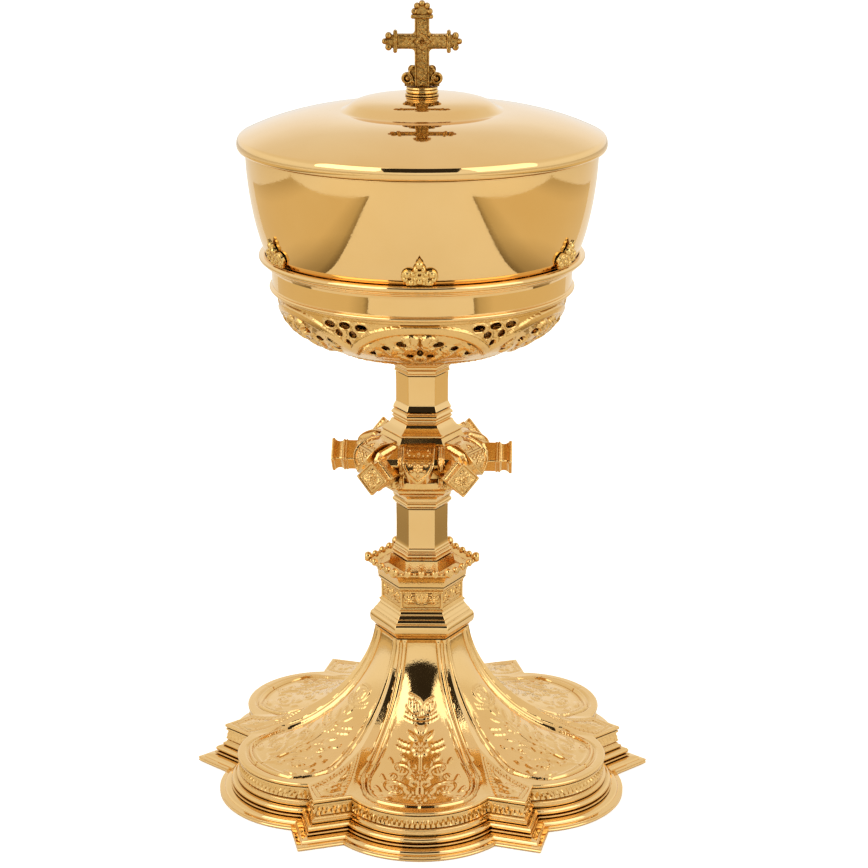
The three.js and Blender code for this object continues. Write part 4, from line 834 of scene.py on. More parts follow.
def square_ring(diagonal, z, per_side=20):
    """A square standing on a corner, round the arm's axis."""
    corners = [(diagonal, 0), (0, diagonal), (-diagonal, 0), (0, -diagonal)]
    ring = []
    for k in range(4):
        start, end = np.array(corners[k], float), np.array(corners[(k + 1) % 4], float)
        shares = np.arange(per_side) / per_side
        ring.append(start + (end - start) * shares[:, None])
    ring = np.vstack(ring)
    reach = np.abs(ring).sum(axis=1)
    pulled = np.abs(np.abs(ring[:, 0]) - np.abs(ring[:, 1])) / np.maximum(reach, 1e-9)
    ring = ring * (1 - 0.035 * smooth((pulled - 0.9) / 0.1))[:, None]
    return np.column_stack([ring, np.full(len(ring), z)])


def arm_end_relief(x, y):
    """Beaten leaves round a flower, for an arm's end."""
    height = rosette(x, y, (0, 0), 1.5, 6, 0.45)
    for k in range(4):
        turn = k * math.pi / 2
        height = np.maximum(height, leaf(x, y, (3.0 * math.sin(turn), 3.0 * math.cos(turn)), 2.6, 1.7, turn, 0.42))
        for lean in (-0.42, 0.42):
            slant = turn + math.pi / 4 + lean
            height = np.maximum(height, 0.4 * swell(disc_field(x, y, (2.6 * math.sin(slant), 2.6 * math.cos(slant)), 0.7), 0.6))
    return height + 0.12 * np.sin(x * 6.3 + np.sin(y * 4)) * np.sin(y * 6.8)


def knop_arm():
    """One arm, its axis along +Z before it is laid down."""
    neck = ARM_REACH - 3.9
    profile = softened([
        (5.9, 13.0), (5.9, neck - 2.3), (6.25, neck - 2.1), (6.25, neck - 1.6), (6.0, neck - 1.5),
        (6.0, neck - 1.2), (6.35, neck - 1.1), (6.35, neck - 0.6), (5.85, neck - 0.4), (5.5, neck + 0.1),
        (5.35, neck + 0.9), (5.6, neck + 1.9), (6.3, neck + 2.7), (6.65, neck + 2.85), (6.7, neck + 3.4),
        (6.5, ARM_REACH), (6.0, ARM_REACH), (5.7, ARM_REACH - 0.4),
    ], 0.2, 3)
    rings = [square_ring(diagonal, z) for diagonal, z in dense(profile, 0.4)]
    for share in np.linspace(1, 0.03, 30):
        ring = square_ring(5.7 * share, ARM_REACH - 0.5)
        ring[:, 2] += arm_end_relief(ring[:, 0], ring[:, 1]) * smooth((1 - share) / 0.12)
        rings.append(ring)
    points, faces = loft(rings)
    laid = np.column_stack([points[:, 0], -points[:, 2], points[:, 1]])
    return laid, faces


def shield_field(x, y):
    """A heater shield, straight at the top and drawn to a point at the foot."""
    half = SHIELD_WIDTH / 2
    t = np.linspace(0, 1, 14)
    curve_x = half * (1 - t) ** 2 + 2 * t * (1 - t) * half * 0.98
    curve_y = -SHIELD_LENGTH * (0.6 * (1 - t) ** 2 + 2 * t * (1 - t) * 0.86 + t ** 2)
    right = list(zip(curve_x, curve_y))
    left = [(-px, py) for px, py in right[::-1][1:]]
    return polygon_field(x, y, [(-half, 0), (half, 0), *right, *left])


def shield_lines():
    """The back and the front line of a shield, bent over the roof, by distance down its chord."""
    roof = KNOP_HEIGHT - KNOP_TOP_BLOCK
    edge = roof - KNOP_ROOF_FALL
    start = np.array([KNOP_TOP_CORNER * FLAT + 0.3, roof + 0.18])
    end = np.array([KNOP_BREAST_CORNER * FLAT + 2.6, edge - SHIELD_DROOP])
    bends = [(KNOP_ROOF_CORNER * FLAT + 1.4, edge + 0.5), (end[0] + 0.6, edge - 1.0)]
    back = bezier([start, *bends, end], np.linspace(0, 1, 120))
    way = np.gradient(back, axis=0)
    way /= np.hypot(way[:, 0], way[:, 1])[:, None]
    normal = np.column_stack([-way[:, 1], way[:, 0]])
    chord = (end - start) / np.hypot(*(end - start))
    share = np.linspace(0, 1, 120)[:, None]
    front = back + normal * (0.45 + (SHIELD_THICKNESS - 0.45) * smooth(share / 0.25))
    under = back - normal * (1.4 * smooth((share - 0.2) / 0.5))
    return start, chord, under, front, normal


def shield_charge(u, v, inside):
    """What a shield bears: ribs from its head, a bar across, and flowers and buds below it."""
    side = np.abs(u)
    marks = [
        leaf(u, v, (0, -7.4), 3.4, 1.2, 0, 0.6),
        rosette(u, v, (0, -13.4), 2.0, 6, 0.55),
        0.42 * smooth((0.4 - np.abs(v + 10.2)) / 0.2),
        0.26 * smooth((0.25 - np.abs(v + 9.3)) / 0.18),
    ]
    for x, foot in [(4.2, -6.6), (3.4, -5.2)]:
        marks.append(0.36 * swell(stroke_field(side, v, [(x, -3.2), (x, foot)], 0.3), 0.3))
    for centre, radius in [
        ((2.9, -12.3), 0.8), ((3.4, -7.8), 0.5), ((1.7, -8.0), 0.42), ((2.4, -14.6), 0.55), ((0, -16.2), 0.5),
        ((4.2, -11.4), 0.5), ((1.4, -11.2), 0.42),
    ]:
        marks.append(0.5 * swell(disc_field(side, v, centre, radius), radius))
    return np.maximum.reduce(marks)


def knop_shield():
    """One shield in front of the knop, before its turn about the axis."""
    start, chord, back, front, normal = shield_lines()
    x, y = flat_grid(-6.2, 6.2, -SHIELD_LENGTH - 0.4, 0.4, 0.15)
    u, v, triangles = cut_out(shield_field(x, y), x, y)
    inside = shield_field(u, v)
    down = -v - 0.6

    def along(line, values):
        return np.interp(down, (line - start) @ chord, values)

    sides = np.where(v > -2.2, SHIELD_WIDTH / 2 - np.abs(u), inside)
    sunk = smooth((sides - 0.7) / 0.3) * smooth((-v - 1.0) / 2.0)
    height = -0.2 * smooth((0.25 - sides) / 0.25) - 0.6 * sunk
    height = height + shield_charge(u, v, inside) * smooth((sides - 0.9) / 0.25)
    out = along(front, front[:, 0]) + along(front, normal[:, 0]) * height
    up = along(front, front[:, 1]) + along(front, normal[:, 1]) * height
    foot = foot_of("knop_body")
    surface = np.column_stack([u, -out, foot + up])
    under = np.column_stack([u, -along(back, back[:, 0]), foot + along(back, back[:, 1])])
    return plate(surface, under, triangles)


# Basket

def cage_profile(count):
    """Radius, height and outward normal along the cage's bowl, from its rim down to the hub."""
    low = foot_of("basket_cage")
    depth = top_of("basket_cage") - low
    power = 2 / CAGE_ROUNDNESS
    last = math.acos((CAGE_HUB_RADIUS / CAGE_RADIUS) ** (1 / power))
    turn = np.linspace(0, last, 1500)
    radius = CAGE_RADIUS * np.cos(turn) ** power
    z = low + depth - (depth - CAGE_HUB_HEIGHT) * np.sin(turn) ** power
    run = np.concatenate([[0], np.cumsum(np.hypot(np.diff(radius), np.diff(z)))])
    even = np.linspace(0, run[-1], count)
    radius = np.interp(even, run, radius)
    z = np.interp(even, run, z)
    along_r, along_z = np.gradient(radius), np.gradient(z)
    size = np.hypot(along_r, along_z)
    return radius, z, -along_z / size, along_r / size


def arch_field(side, drop, half, rise):
    """About the distance inside an arch with full shoulders, its crown at drop 0."""
    over = np.maximum(rise + drop, 0) / rise
    return (1 - ((side / half) ** 2.4 + over ** 2.4) ** (1 / 2.4)) * (rise + half) / 2


def cage_design(x, z, azimuth):
    """The openwork's field and its relief; x and z as seen square on from the arch's front."""
    low = foot_of("basket_cage")
    top = top_of("basket_cage")
    crown = top - ARCH_TOP_DROP
    side = np.abs(x)
    from_crown = z - crown
    outer = arch_field(side, from_crown, ARCH_HALF, ARCH_RISE)
    inside_arch = arch_field(side, from_crown + ARCH_BAND, ARCH_HALF - ARCH_BAND, ARCH_RISE - 1.0)
    outside_arch = -outer
    arch = np.minimum(outer, -inside_arch)

    pits = [((0, -11.6), 1.2, 1.5), ((6.6, -7.6), 1.9, 1.2), ((12.2, -9.6), 1.5, 1.0), ((3.6, -13.4), 1.3, 0.9),
            ((16.8, -12.6), 1.2, 1.0)]
    filling = -np.maximum.reduce([
        (1 - np.hypot((side - px) / wide, (from_crown - pz) / high)) * min(wide, high) for (px, pz), wide, high in pits])

    from_rib = np.abs(HALF - np.abs(azimuth)) * np.hypot(x, 50)
    holes = []
    for hx, hz, rx, rz in [(0.3, -1.9, 2.1, 1.3), (6.6, -2.2, 2.3, 1.35), (3.0, -5.2, 1.6, 1.5), (0, -8.9, 1.0, 1.5)]:
        scale = min(rx, rz)
        holes.append((1 - np.hypot((from_rib - hx) / rx, (from_crown - hz) / rz)) * scale)
    pierced = np.maximum.reduce(holes)
    spandrel = -pierced

    field = np.maximum(arch, np.where(inside_arch > 0, filling, spandrel))
    field = np.maximum(field, z - (top - 1.25))
    field = np.maximum(field, np.where((inside_arch < 0) & (outside_arch < 0), 2.0, -9))
    field = np.maximum(field, (low + 5.4) - z)

    height = np.zeros(np.shape(x))
    height = np.maximum(height, CAGE_RELIEF * swell(arch, 1.1))
    granular = np.sin(x * 7.1 + np.sin(z * 5.3) * 1.7) * np.sin(z * 7.7 + np.cos(x * 4.9) * 1.3)
    granular = 0.5 + 0.5 * granular
    fan = 0.08 + 0.08 * np.cos(np.arctan2(side, from_crown + 16) * 26)
    leaves = np.maximum.reduce([
        1.5 * swell(disc_field(side, from_crown, (3.1, -6.9), 3.5), 1.5),
        1.1 * swell(leaf_field(side, from_crown, (9.8, -10.2), 8.6, 3.6, 1.35), 1.0),
        1.0 * swell(leaf_field(side, from_crown, (8.4, -12.8), 7.0, 2.6, 1.2), 0.8),
        1.15 * swell(disc_field(side, from_crown, (18.2, -9.8), 2.3), 1.1),
        0.9 * swell(disc_field(side, from_crown, (14.8, -13.2), 2.0), 1.6),
        0.85 * swell(leaf_field(side, from_crown, (5.0, -15.8), 8.0, 3.0, 1.0), 1.3),
        0.9 * swell(disc_field(side, from_crown, (0, -14.6), 2.2), 1.6),
    ])
    notch = 1 - 0.75 * np.exp(-(side / 0.5) ** 2) * (from_crown < -5.6) * (from_crown > -10.5)
    worked = np.maximum(fan, leaves * notch * (0.74 + 0.34 * granular))
    height = np.where(inside_arch > 0, np.maximum(height, worked), height)
    skirt = smooth((low + 5.6 - z) / 0.4) * (0.3 + 0.5 * granular)
    height = np.maximum(height, skirt)
    rib = swell(0.8 - np.abs(from_rib - 1.85), 0.8) * 0.5 * (from_crown < -3.2) * (outside_arch > 0)
    lip = 0.32 * smooth((0.9 + pierced) / 0.5) * (pierced < 0) * (outside_arch > 0)
    height = np.maximum(height, np.maximum(rib, lip))
    height = np.maximum(height, 0.75 * smooth((z - top + 1.25) / 0.3))
    rounded_edge = smooth(field / 0.4)
    return field, height * (0.35 + 0.65 * rounded_edge)


CAGE_COLUMNS = 660
CAGE_ROWS = 122


def basket_cage():
    radius, z, normal_r, normal_z = cage_profile(CAGE_ROWS)
    azimuth = np.arange(CAGE_COLUMNS) * (2 * math.pi / CAGE_COLUMNS)
    az, row = np.meshgrid(azimuth, np.arange(CAGE_ROWS, dtype=float))

    def local(azimuths, rows):
        r = np.interp(rows, np.arange(CAGE_ROWS), radius)
        level = np.interp(rows, np.arange(CAGE_ROWS), z)
        near = azimuths - SECTOR * np.round(azimuths / SECTOR)
        return r, level, near

    r, level, near = local(az, row)
    field, _ = cage_design(r * np.sin(near), level, near)
    u, v, triangles = cut_out(field, az, row, wrap=True)
    r, level, near = local(u, v)
    _, height = cage_design(r * np.sin(near), level, near)
    out_r = np.interp(v, np.arange(CAGE_ROWS), normal_r)
    out_z = np.interp(v, np.arange(CAGE_ROWS), normal_z)
    lift = height - CAGE_RELIEF
    front = at(r + out_r * lift, u, level + out_z * lift)
    under = -CAGE_RELIEF - CAGE_SHEET
    back = at(r + out_r * under, u, np.minimum(level + out_z * under, top_of("basket_cage")))
    low = foot_of("basket_cage")
    hub = [
        (2.9, low), (CAGE_HUB_RADIUS - 1.6, low), (CAGE_HUB_RADIUS - 1.2, low + 0.4), (CAGE_HUB_RADIUS, low + 0.5),
        (CAGE_HUB_RADIUS + 0.6, low + 1.0), (CAGE_HUB_RADIUS + 1.6, low + 1.7), (CAGE_HUB_RADIUS + 1.6, low + 3.4),
        (2.9, low + 3.6),
    ]
    return Body(plate(front, back, triangles), lathe(softened(hub, 0.25, closed=True), 96))


def basket_band():
    z = foot_of("basket_band")
    top = top_of("basket_band")
    lip = BAND_RADIUS + BAND_LIP
    outer = [
        (BAND_RADIUS - 0.5, z), (BAND_RADIUS + 0.1, z + 0.1), *roll(BAND_RADIUS + 0.15, z + 0.25, 1.45, 0.75),
        (BAND_RADIUS + 0.05, z + 1.85), (BAND_RADIUS - 0.15, z + 2.0), (BAND_RADIUS - 0.1, z + 2.5),
        (BAND_RADIUS + 0.1, top - 5.2), (BAND_RADIUS + 0.5, top - 4.4), (BAND_RADIUS + 1.8, top - 4.0),
        (BAND_RADIUS + 2.3, top - 3.7), (BAND_RADIUS + 2.5, top - 3.2), (lip - 1.5, top - 3.0), (lip - 1.2, top - 2.6),
        (lip - 1.5, top - 2.3), *roll(lip - 0.95, top - 2.2, 2.15, 0.95), (lip - 1.7, top),
    ]
    section = [*outer, (lip - 2.4, top - 0.15), (lip - 2.4, top - 2), (BAND_RADIUS - BAND_SHEET, top - 7)]
    section.append((BAND_RADIUS - BAND_SHEET, z))
    return Body(lathe(softened(section, 0.2, closed=True)))


def finial_field(x, y):
    side = np.abs(x)
    return np.maximum.reduce([
        disc_field(side, y, (3.7, 3.3), 2.7),
        disc_field(side, y, (2.9, 1.3), 2.1),
        disc_field(x, y, (0, 5.9), 2.3),
        disc_field(x, y, (0, 8.2), 1.35),
        leaf_field(x, y, (0, 8.8), 3.6, 1.5, 0),
        2.6 - np.maximum(side - 0.6, np.abs(y - 2.4)),
    ])


def basket_finial():
    """A trefoil lying in the x-y plane with its foot at y 0, facing +z."""
    x, y = flat_grid(-6.8, 6.8, -0.4, 10.9, 0.15)
    field = np.minimum(finial_field(x, y), y + 0.001)
    u, v, triangles = cut_out(field, x, y)
    inside = finial_field(u, v)
    side = np.abs(u)
    height = 0.9 + 0.5 * swell(inside, 0.6)
    knobs = [((4.2, 4.2), 1.1), ((4.9, 2.4), 0.9), ((3.0, 1.0), 1.0), ((2.2, 4.6), 0.9), ((0, 8.1), 1.15),
             ((1.3, 6.4), 0.8), ((0, 1.5), 1.1), ((1.5, 2.6), 0.7)]
    lobes = np.maximum.reduce([swell(disc_field(side, v, centre, radius), radius) for centre, radius in knobs])
    pits = np.maximum.reduce([
        smooth(disc_field(side, v, centre, 0.62) / 0.3) for centre in [(3.5, 2.7), (0, 4.4), (0, 6.5)]])
    height = height + 0.55 * lobes - 0.7 * pits
    front = np.column_stack([u, v, height])
    back = np.column_stack([u, v, np.zeros(len(u))])
    return plate(front, back, triangles)


def stand_finial(surface, k):
    """Leans a finial against the cup, as its node does."""
    points, faces = surface
    lean = FINIAL_LEAN
    x, y, z = points.T
    low = foot_of("basket_finial_1")
    seat = CUP_WAIST_RADIUS + 0.4
    out = y * math.sin(lean) + z * math.cos(lean)
    up = y * math.cos(lean) - z * math.sin(lean)
    laid = np.column_stack([x, -(seat + out), low + up + 1.5 * math.sin(lean)])
    return turned_about_z(laid, k * SECTOR), faces


# Cup and lid

def bezier(points, t):
    a, b, c, d = [np.asarray(point, float) for point in points]
    t = np.asarray(t)[:, None]
    s = 1 - t
    return a * s ** 3 + 3 * b * s ** 2 * t + 3 * c * s * t ** 2 + d * t ** 3


def cup_bowl():
    low = foot_of("cup_bowl")
    rim = top_of("cup_bowl")
    waist = np.array([CUP_WAIST_RADIUS, top_of("basket_band")])
    lean = np.array([-math.sin(CUP_WAIST_LEAN), -math.cos(CUP_WAIST_LEAN)])
    end = np.array([CUP_RIM_RADIUS, rim])
    rise = rim - waist[1]
    lower = bezier([(0, low), (CUP_WAIST_RADIUS * 0.62, low), waist + lean * (waist[1] - low) * 0.48, waist],
                   np.linspace(0.012, 1, 60))
    upper = bezier([waist, waist - lean * rise * 0.2, end + np.array([-0.3, -rise * 0.4]), end],
                   np.linspace(0, 1, 44)[1:])
    outer = np.vstack([lower, upper])
    way = np.gradient(outer, axis=0)
    way /= np.hypot(way[:, 0], way[:, 1])[:, None]
    inner = outer + np.column_stack([-way[:, 1], way[:, 0]]) * CUP_SHEET
    inner[:, 1] = np.minimum(inner[:, 1], rim - 0.35)
    inner[0, 0] = outer[0, 0]
    middle = CUP_RIM_RADIUS - CUP_SHEET / 2
    lip = [(middle + 0.6 * math.cos(t), rim - 0.35 + 0.35 * math.sin(t)) for t in np.linspace(0.2, math.pi - 0.2, 9)]
    outer[-1, 1] = rim - 0.4
    profile = np.vstack([outer, lip, inner[::-1][1:]])
    return Body(lathe(profile, closed=False))


BOSS_EDGE = np.array([25.0, 14.7])   # radius, and height over the bead's middle
BOSS_FOOT = np.array([29.4, 11.9])
DOME_EDGE = np.array([66.0, 3.1])


def lid_shell():
    middle = foot_of("lid_shell") + BEAD_RADIUS * 0.966
    centre = BEAD_REACH - BEAD_RADIUS
    crown = bezier([(2.0, 17.15), (14.0, 17.15), BOSS_EDGE + (-4.0, 2.0), BOSS_EDGE], np.linspace(0, 1, 30))
    boss = bezier([BOSS_EDGE, BOSS_EDGE + (1.6, -0.9), BOSS_FOOT + (-1.7, 0.35), BOSS_FOOT], np.linspace(0, 1, 16)[1:])
    dome = bezier([BOSS_FOOT, BOSS_FOOT + (12.6, 0), DOME_EDGE + (-10.0, 5.0), DOME_EDGE], np.linspace(0, 1, 60)[1:])
    shoulder = bezier([DOME_EDGE, DOME_EDGE + (0.7, -0.5), (BEAD_REACH + 0.05, 1.4), (BEAD_REACH, 0)],
                      np.linspace(0, 1, 12)[1:])
    under = [(centre + BEAD_RADIUS * math.cos(t), BEAD_RADIUS * math.sin(t)) for t in np.radians(np.linspace(-8, -155, 14))]
    outer = np.vstack([crown, boss, dome])
    keep = outer[outer[:, 0] < 61.0]
    way = np.gradient(keep, axis=0)
    way /= np.hypot(way[:, 0], way[:, 1])[:, None]
    inner = keep + np.column_stack([way[:, 1], -way[:, 0]]) * LID_SHEET
    inner[0, 0] = keep[0, 0]
    profile = np.vstack([outer, shoulder, under, inner[::-1]]) + (0, middle)
    return Body(lathe(profile, closed=True))


def lid_bezel():
    low = foot_of("lid_bezel")
    top = top_of("lid_bezel")
    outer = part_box("lid_bezel")[1].x / MM
    profile = [
        (outer - 0.7, low), (outer - 0.2, low + 0.25), (outer, low + 0.9), (outer, low + 3.0), (outer - 0.18, low + 3.2),
        (outer - 0.18, low + 3.7), (outer, low + 3.9), (outer, top), (outer - 1, top), (outer - 1, low + 0.6),
    ]
    return Body(lathe(softened(profile, 0.2, closed=True)))


# Cross

CROSS_BAR = 5.3
CROSS_MIDDLE = 16.0
CROSS_TOP = 25.6
CROSS_SPAN = 10.3
COLLAR_HALF = 3.3


def cross_fields(x, z):
    side = np.abs(x)
    half = CROSS_BAR / 2
    upright = np.minimum(half - side, np.minimum(z, CROSS_TOP - z))
    arms = np.minimum(half - np.abs(z - CROSS_MIDDLE), CROSS_SPAN - side)
    bars = np.maximum(upright, arms)
    nook = 1.3
    dx, dz = side - half, np.abs(z - CROSS_MIDDLE) - half
    fillet = np.where((dx < nook) & (dz < nook) & (dx > 0) & (dz > 0),
                      np.hypot(nook - dx, nook - dz) - nook, -9)
    bars = np.maximum(bars, fillet)
    end_collar = np.minimum(COLLAR_HALF - np.abs(z - CROSS_MIDDLE), 0.75 - np.abs(side - CROSS_SPAN + 0.75))
    top_collar = np.minimum(COLLAR_HALF - side, 0.8 - np.abs(z - CROSS_TOP + 0.8))
    knuckles = np.maximum(
        disc_field(side, np.abs(z - CROSS_MIDDLE), (CROSS_SPAN - 0.75, COLLAR_HALF), 0.75),
        disc_field(side, z, (COLLAR_HALF, CROSS_TOP - 0.8), 0.75))
    collars = np.maximum.reduce([end_collar, top_collar, knuckles])
    buds = []
    for out, beside, size in [(3.8, 0, 1.0), (2.4, 2.05, 1.2)]:
        buds.append(disc_field(side, np.abs(z - CROSS_MIDDLE), (CROSS_SPAN - 0.75 + out, beside), size))
    for up, beside in [(4.6, 0), (3.75, 1.8), (1.8, 2.75)]:
        buds.append(disc_field(side, z, (beside, CROSS_TOP - 0.8 + up), 1.1))
    core = np.maximum(
        disc_field(side, z, (CROSS_SPAN + 0.6, CROSS_MIDDLE), 2.4),
        disc_field(side, z, (0, CROSS_TOP + 1.2), 2.6))
    volute = disc_field(side, z, (half + 2.6, 2.9), 2.2)
    eye = disc_field(side, z, (half + 2.6, 2.8), 0.95)
    upper = disc_field(side, z, (half + 0.9, 6.1), 1.5)
    web = disc_field(side, z, (half + 0.3, 4.7), 1.9)
    stalk = np.minimum(2.4 - np.abs(side - half - 1.2), 1.7 - np.abs(z - 1.7))
    scroll = np.maximum.reduce([volute, upper, web, stalk])
    return bars, collars, buds, core, scroll, eye


def cross_finial():
    low = foot_of("cross_finial")
    x, z = flat_grid(-15.0, 15.0, 0.0, 31.0, 0.14)

    def outline(px, pz):
        bars, collars, buds, core, scroll, eye = cross_fields(px, pz)
        return np.maximum.reduce([bars, collars, *buds, core, scroll])

    u, v, triangles = cut_out(outline(x, z), x, z)
    bars, collars, buds, core, scroll, eye = cross_fields(u, v)
    side = np.abs(u)
    lift = np.abs(v - CROSS_MIDDLE)
    height = 0.8 + 0.25 * swell(outline(u, v), 0.4)
    bar_height = 1.7 - 1.0 * smooth((bars - 0.6) / 0.2) - 0.25 * smooth((0.2 - bars) / 0.2)
    grains = 0.2 * np.sin(u * 9.1 + np.sin(v * 4.1)) * np.sin(v * 8.7 + np.sin(u * 5.3))
    diamond = 0.6 * smooth((0.3 - np.abs(side + lift - 3.1)) / 0.2)
    sprigs = [rosette(u, v, (0, CROSS_MIDDLE), 1.7, 4, 0.8), diamond]
    for step in range(5):
        sprigs.append(leaf(side, v, (0.8, 3.2 + step * 2.1), 2.2, 1.1, 0.7, 0.55))
    for step in range(2):
        sprigs.append(leaf(side, v, (0.8, CROSS_MIDDLE + 4.3 + step * 2.3), 2.2, 1.1, 0.7, 0.55))
        sprigs.append(leaf(side, lift, (4.3 + step * 2.3, 0.8), 2.2, 1.1, 0.9, 0.55))
    worked = np.maximum.reduce(sprigs) + grains
    bar_height = bar_height + worked * smooth((bars - 0.65) / 0.2)
    height = np.where(bars > 0, np.maximum(height, bar_height), height)
    height = np.where(collars > 0, np.maximum(height, 1.35 + 0.6 * swell(collars, 0.7)), height)
    for bud in buds:
        height = np.where(bud > 0, np.maximum(height, 0.7 + 1.1 * swell(bud, 1.0)), height)
    curl = np.abs(np.hypot(side - CROSS_BAR / 2 - 2.6, v - 2.9) - 1.65)
    shoulder = np.abs(np.hypot(side - CROSS_BAR / 2 + 1.2, v - 4.4) - 3.2)
    rolled = 0.35 + 0.95 * swell(0.55 - np.minimum(curl, shoulder), 0.5) + 1.1 * swell(eye, 0.9)
    height = np.where((scroll > 0) & (bars < 0), rolled, height)
    front = np.column_stack([u, -height, low + v])
    back = np.column_stack([u, height, low + v])
    return Body(plate(front, back, triangles))


def cross_base():
    foot = foot_of("cross_base")
    top = top_of("cross_base")
    z = top - 2.85
    seat = foot_of("cross_finial") - 0.04
    profile = [
        (0.05, z), (5.8, z), (6.1, z + 0.15), (6.1, z + 0.6), (5.7, z + 0.8), (5.3, z + 0.9),
        *roll(5.4, z + 1.0, 1.2, 0.5), (5.3, z + 2.3), (5.6, z + 2.4), (5.7, z + 2.6), (5.6, seat), (0.05, seat),
    ]
    stud = [(0.05, foot), (1.3, foot), (1.6, foot + 0.3)]
    for i in range(9):
        level = foot + 0.5 + i * 0.7
        stud += [(1.6, level), (1.42, level + 0.2), (1.42, level + 0.35), (1.6, level + 0.55)]
    stud += [(1.6, z + 0.4), (0.05, z + 0.5)]
    return Body(lathe(softened(profile, 0.12), 96, closed=False), lathe(stud, 32, closed=False))


# Materials

def node_material(name, metallic):
    material = bpy.data.materials.new(name)
    material.use_nodes = True
    nodes, links = material.node_tree.nodes, material.node_tree.links
    shader = nodes["Principled BSDF"]
    shader.inputs["Metallic"].default_value = metallic
    return material, nodes, links, shader


def ramp_node(nodes, stops):
    ramp = nodes.new("ShaderNodeValToRGB")
    while len(ramp.color_ramp.elements) > 1:
        ramp.color_ramp.elements.remove(ramp.color_ramp.elements[-1])
    ramp.color_ramp.elements[0].position = stops[0][0]
    ramp.color_ramp.elements[0].color = (*stops[0][1], 1)
    for position, colour in stops[1:]:
        ramp.color_ramp.elements.new(position).color = (*colour, 1)
    return ramp


def gilt(name, light, deep, rough_low, rough_high, grain_scale, grain, painted_shade_reach=0.0, stipple=0.0,
         cell_scale=2000):
    """Gilding: cloudy colour, uneven polish, a fine grain and, on castings, painted shade darkening the hollows
    (standing also for old grime in them) and darker pits in the punched ground.
    """
    material, nodes, links, shader = node_material(name, 1.0)
    place = nodes.new("ShaderNodeTexCoord")
    cloud = nodes.new("ShaderNodeTexNoise")
    cloud.inputs["Scale"].default_value = 42
    cloud.inputs["Detail"].default_value = 4
    links.new(place.outputs["Object"], cloud.inputs["Vector"])
    tint = ramp_node(nodes, [(0.3, deep), (0.62, light)])
    links.new(cloud.outputs["Fac"], tint.inputs["Fac"])
    colour = tint.outputs["Color"]
    if painted_shade_reach:
        # Painted shade: the colour darkens where ambient occlusion finds hollows, standing also for old grime in them.
        hollow = nodes.new("ShaderNodeAmbientOcclusion")
        hollow.samples = 6
        hollow.inputs["Distance"].default_value = painted_shade_reach * MM
        shade = ramp_node(nodes, [(0.12, (0.15, 0.08, 0.02)), (0.5, (0.69, 0.59, 0.38)), (0.85, (1, 1, 1))])
        links.new(hollow.outputs["AO"], shade.inputs["Fac"])
        mix = nodes.new("ShaderNodeMix")
        mix.data_type = "RGBA"
        mix.blend_type = "MULTIPLY"
        mix.inputs["Factor"].default_value = 1.0
        links.new(colour, mix.inputs[6])
        links.new(shade.outputs["Color"], mix.inputs[7])
        colour = mix.outputs[2]
    if stipple:
        # The punched ground's colour is darker in its low parts, where the bump sinks.
        cells = nodes.new("ShaderNodeTexVoronoi")
        cells.feature = "SMOOTH_F1"
        cells.inputs["Scale"].default_value = cell_scale
        links.new(place.outputs["Object"], cells.inputs["Vector"])
        pit_darkening = ramp_node(nodes, [(0.3, (1, 1, 1)), (0.75, (0.42, 0.3, 0.16))])
        links.new(cells.outputs["Distance"], pit_darkening.inputs["Fac"])
        pits = nodes.new("ShaderNodeMix")
        pits.data_type = "RGBA"
        pits.blend_type = "MULTIPLY"
        pits.inputs["Factor"].default_value = stipple
        links.new(colour, pits.inputs[6])
        links.new(pit_darkening.outputs["Color"], pits.inputs[7])
        colour = pits.outputs[2]
    links.new(colour, shader.inputs["Base Color"])

    wear = nodes.new("ShaderNodeTexNoise")
    wear.inputs["Scale"].default_value = 130
    wear.inputs["Detail"].default_value = 5
    links.new(place.outputs["Object"], wear.inputs["Vector"])
    polish = nodes.new("ShaderNodeMapRange")
    polish.inputs["From Min"].default_value = 0.35
    polish.inputs["From Max"].default_value = 0.7
    polish.inputs["To Min"].default_value = rough_low
    polish.inputs["To Max"].default_value = rough_high
    links.new(wear.outputs["Fac"], polish.inputs["Value"])
    links.new(polish.outputs["Result"], shader.inputs["Roughness"])

    grit = nodes.new("ShaderNodeTexNoise")
    grit.inputs["Scale"].default_value = grain_scale
    grit.inputs["Detail"].default_value = 3
    links.new(place.outputs["Object"], grit.inputs["Vector"])
    bump = nodes.new("ShaderNodeBump")
    bump.inputs["Strength"].default_value = grain
    bump.inputs["Distance"].default_value = 0.0004
    links.new(grit.outputs["Fac"], bump.inputs["Height"])
    normal = bump.outputs["Normal"]
    if stipple:
        beaten = nodes.new("ShaderNodeBump")
        beaten.invert = True
        beaten.inputs["Strength"].default_value = stipple
        beaten.inputs["Distance"].default_value = 0.0004
        links.new(cells.outputs["Distance"], beaten.inputs["Height"])
        links.new(normal, beaten.inputs["Normal"])
        normal = beaten.outputs["Normal"]
    links.new(normal, shader.inputs["Normal"])
    return material


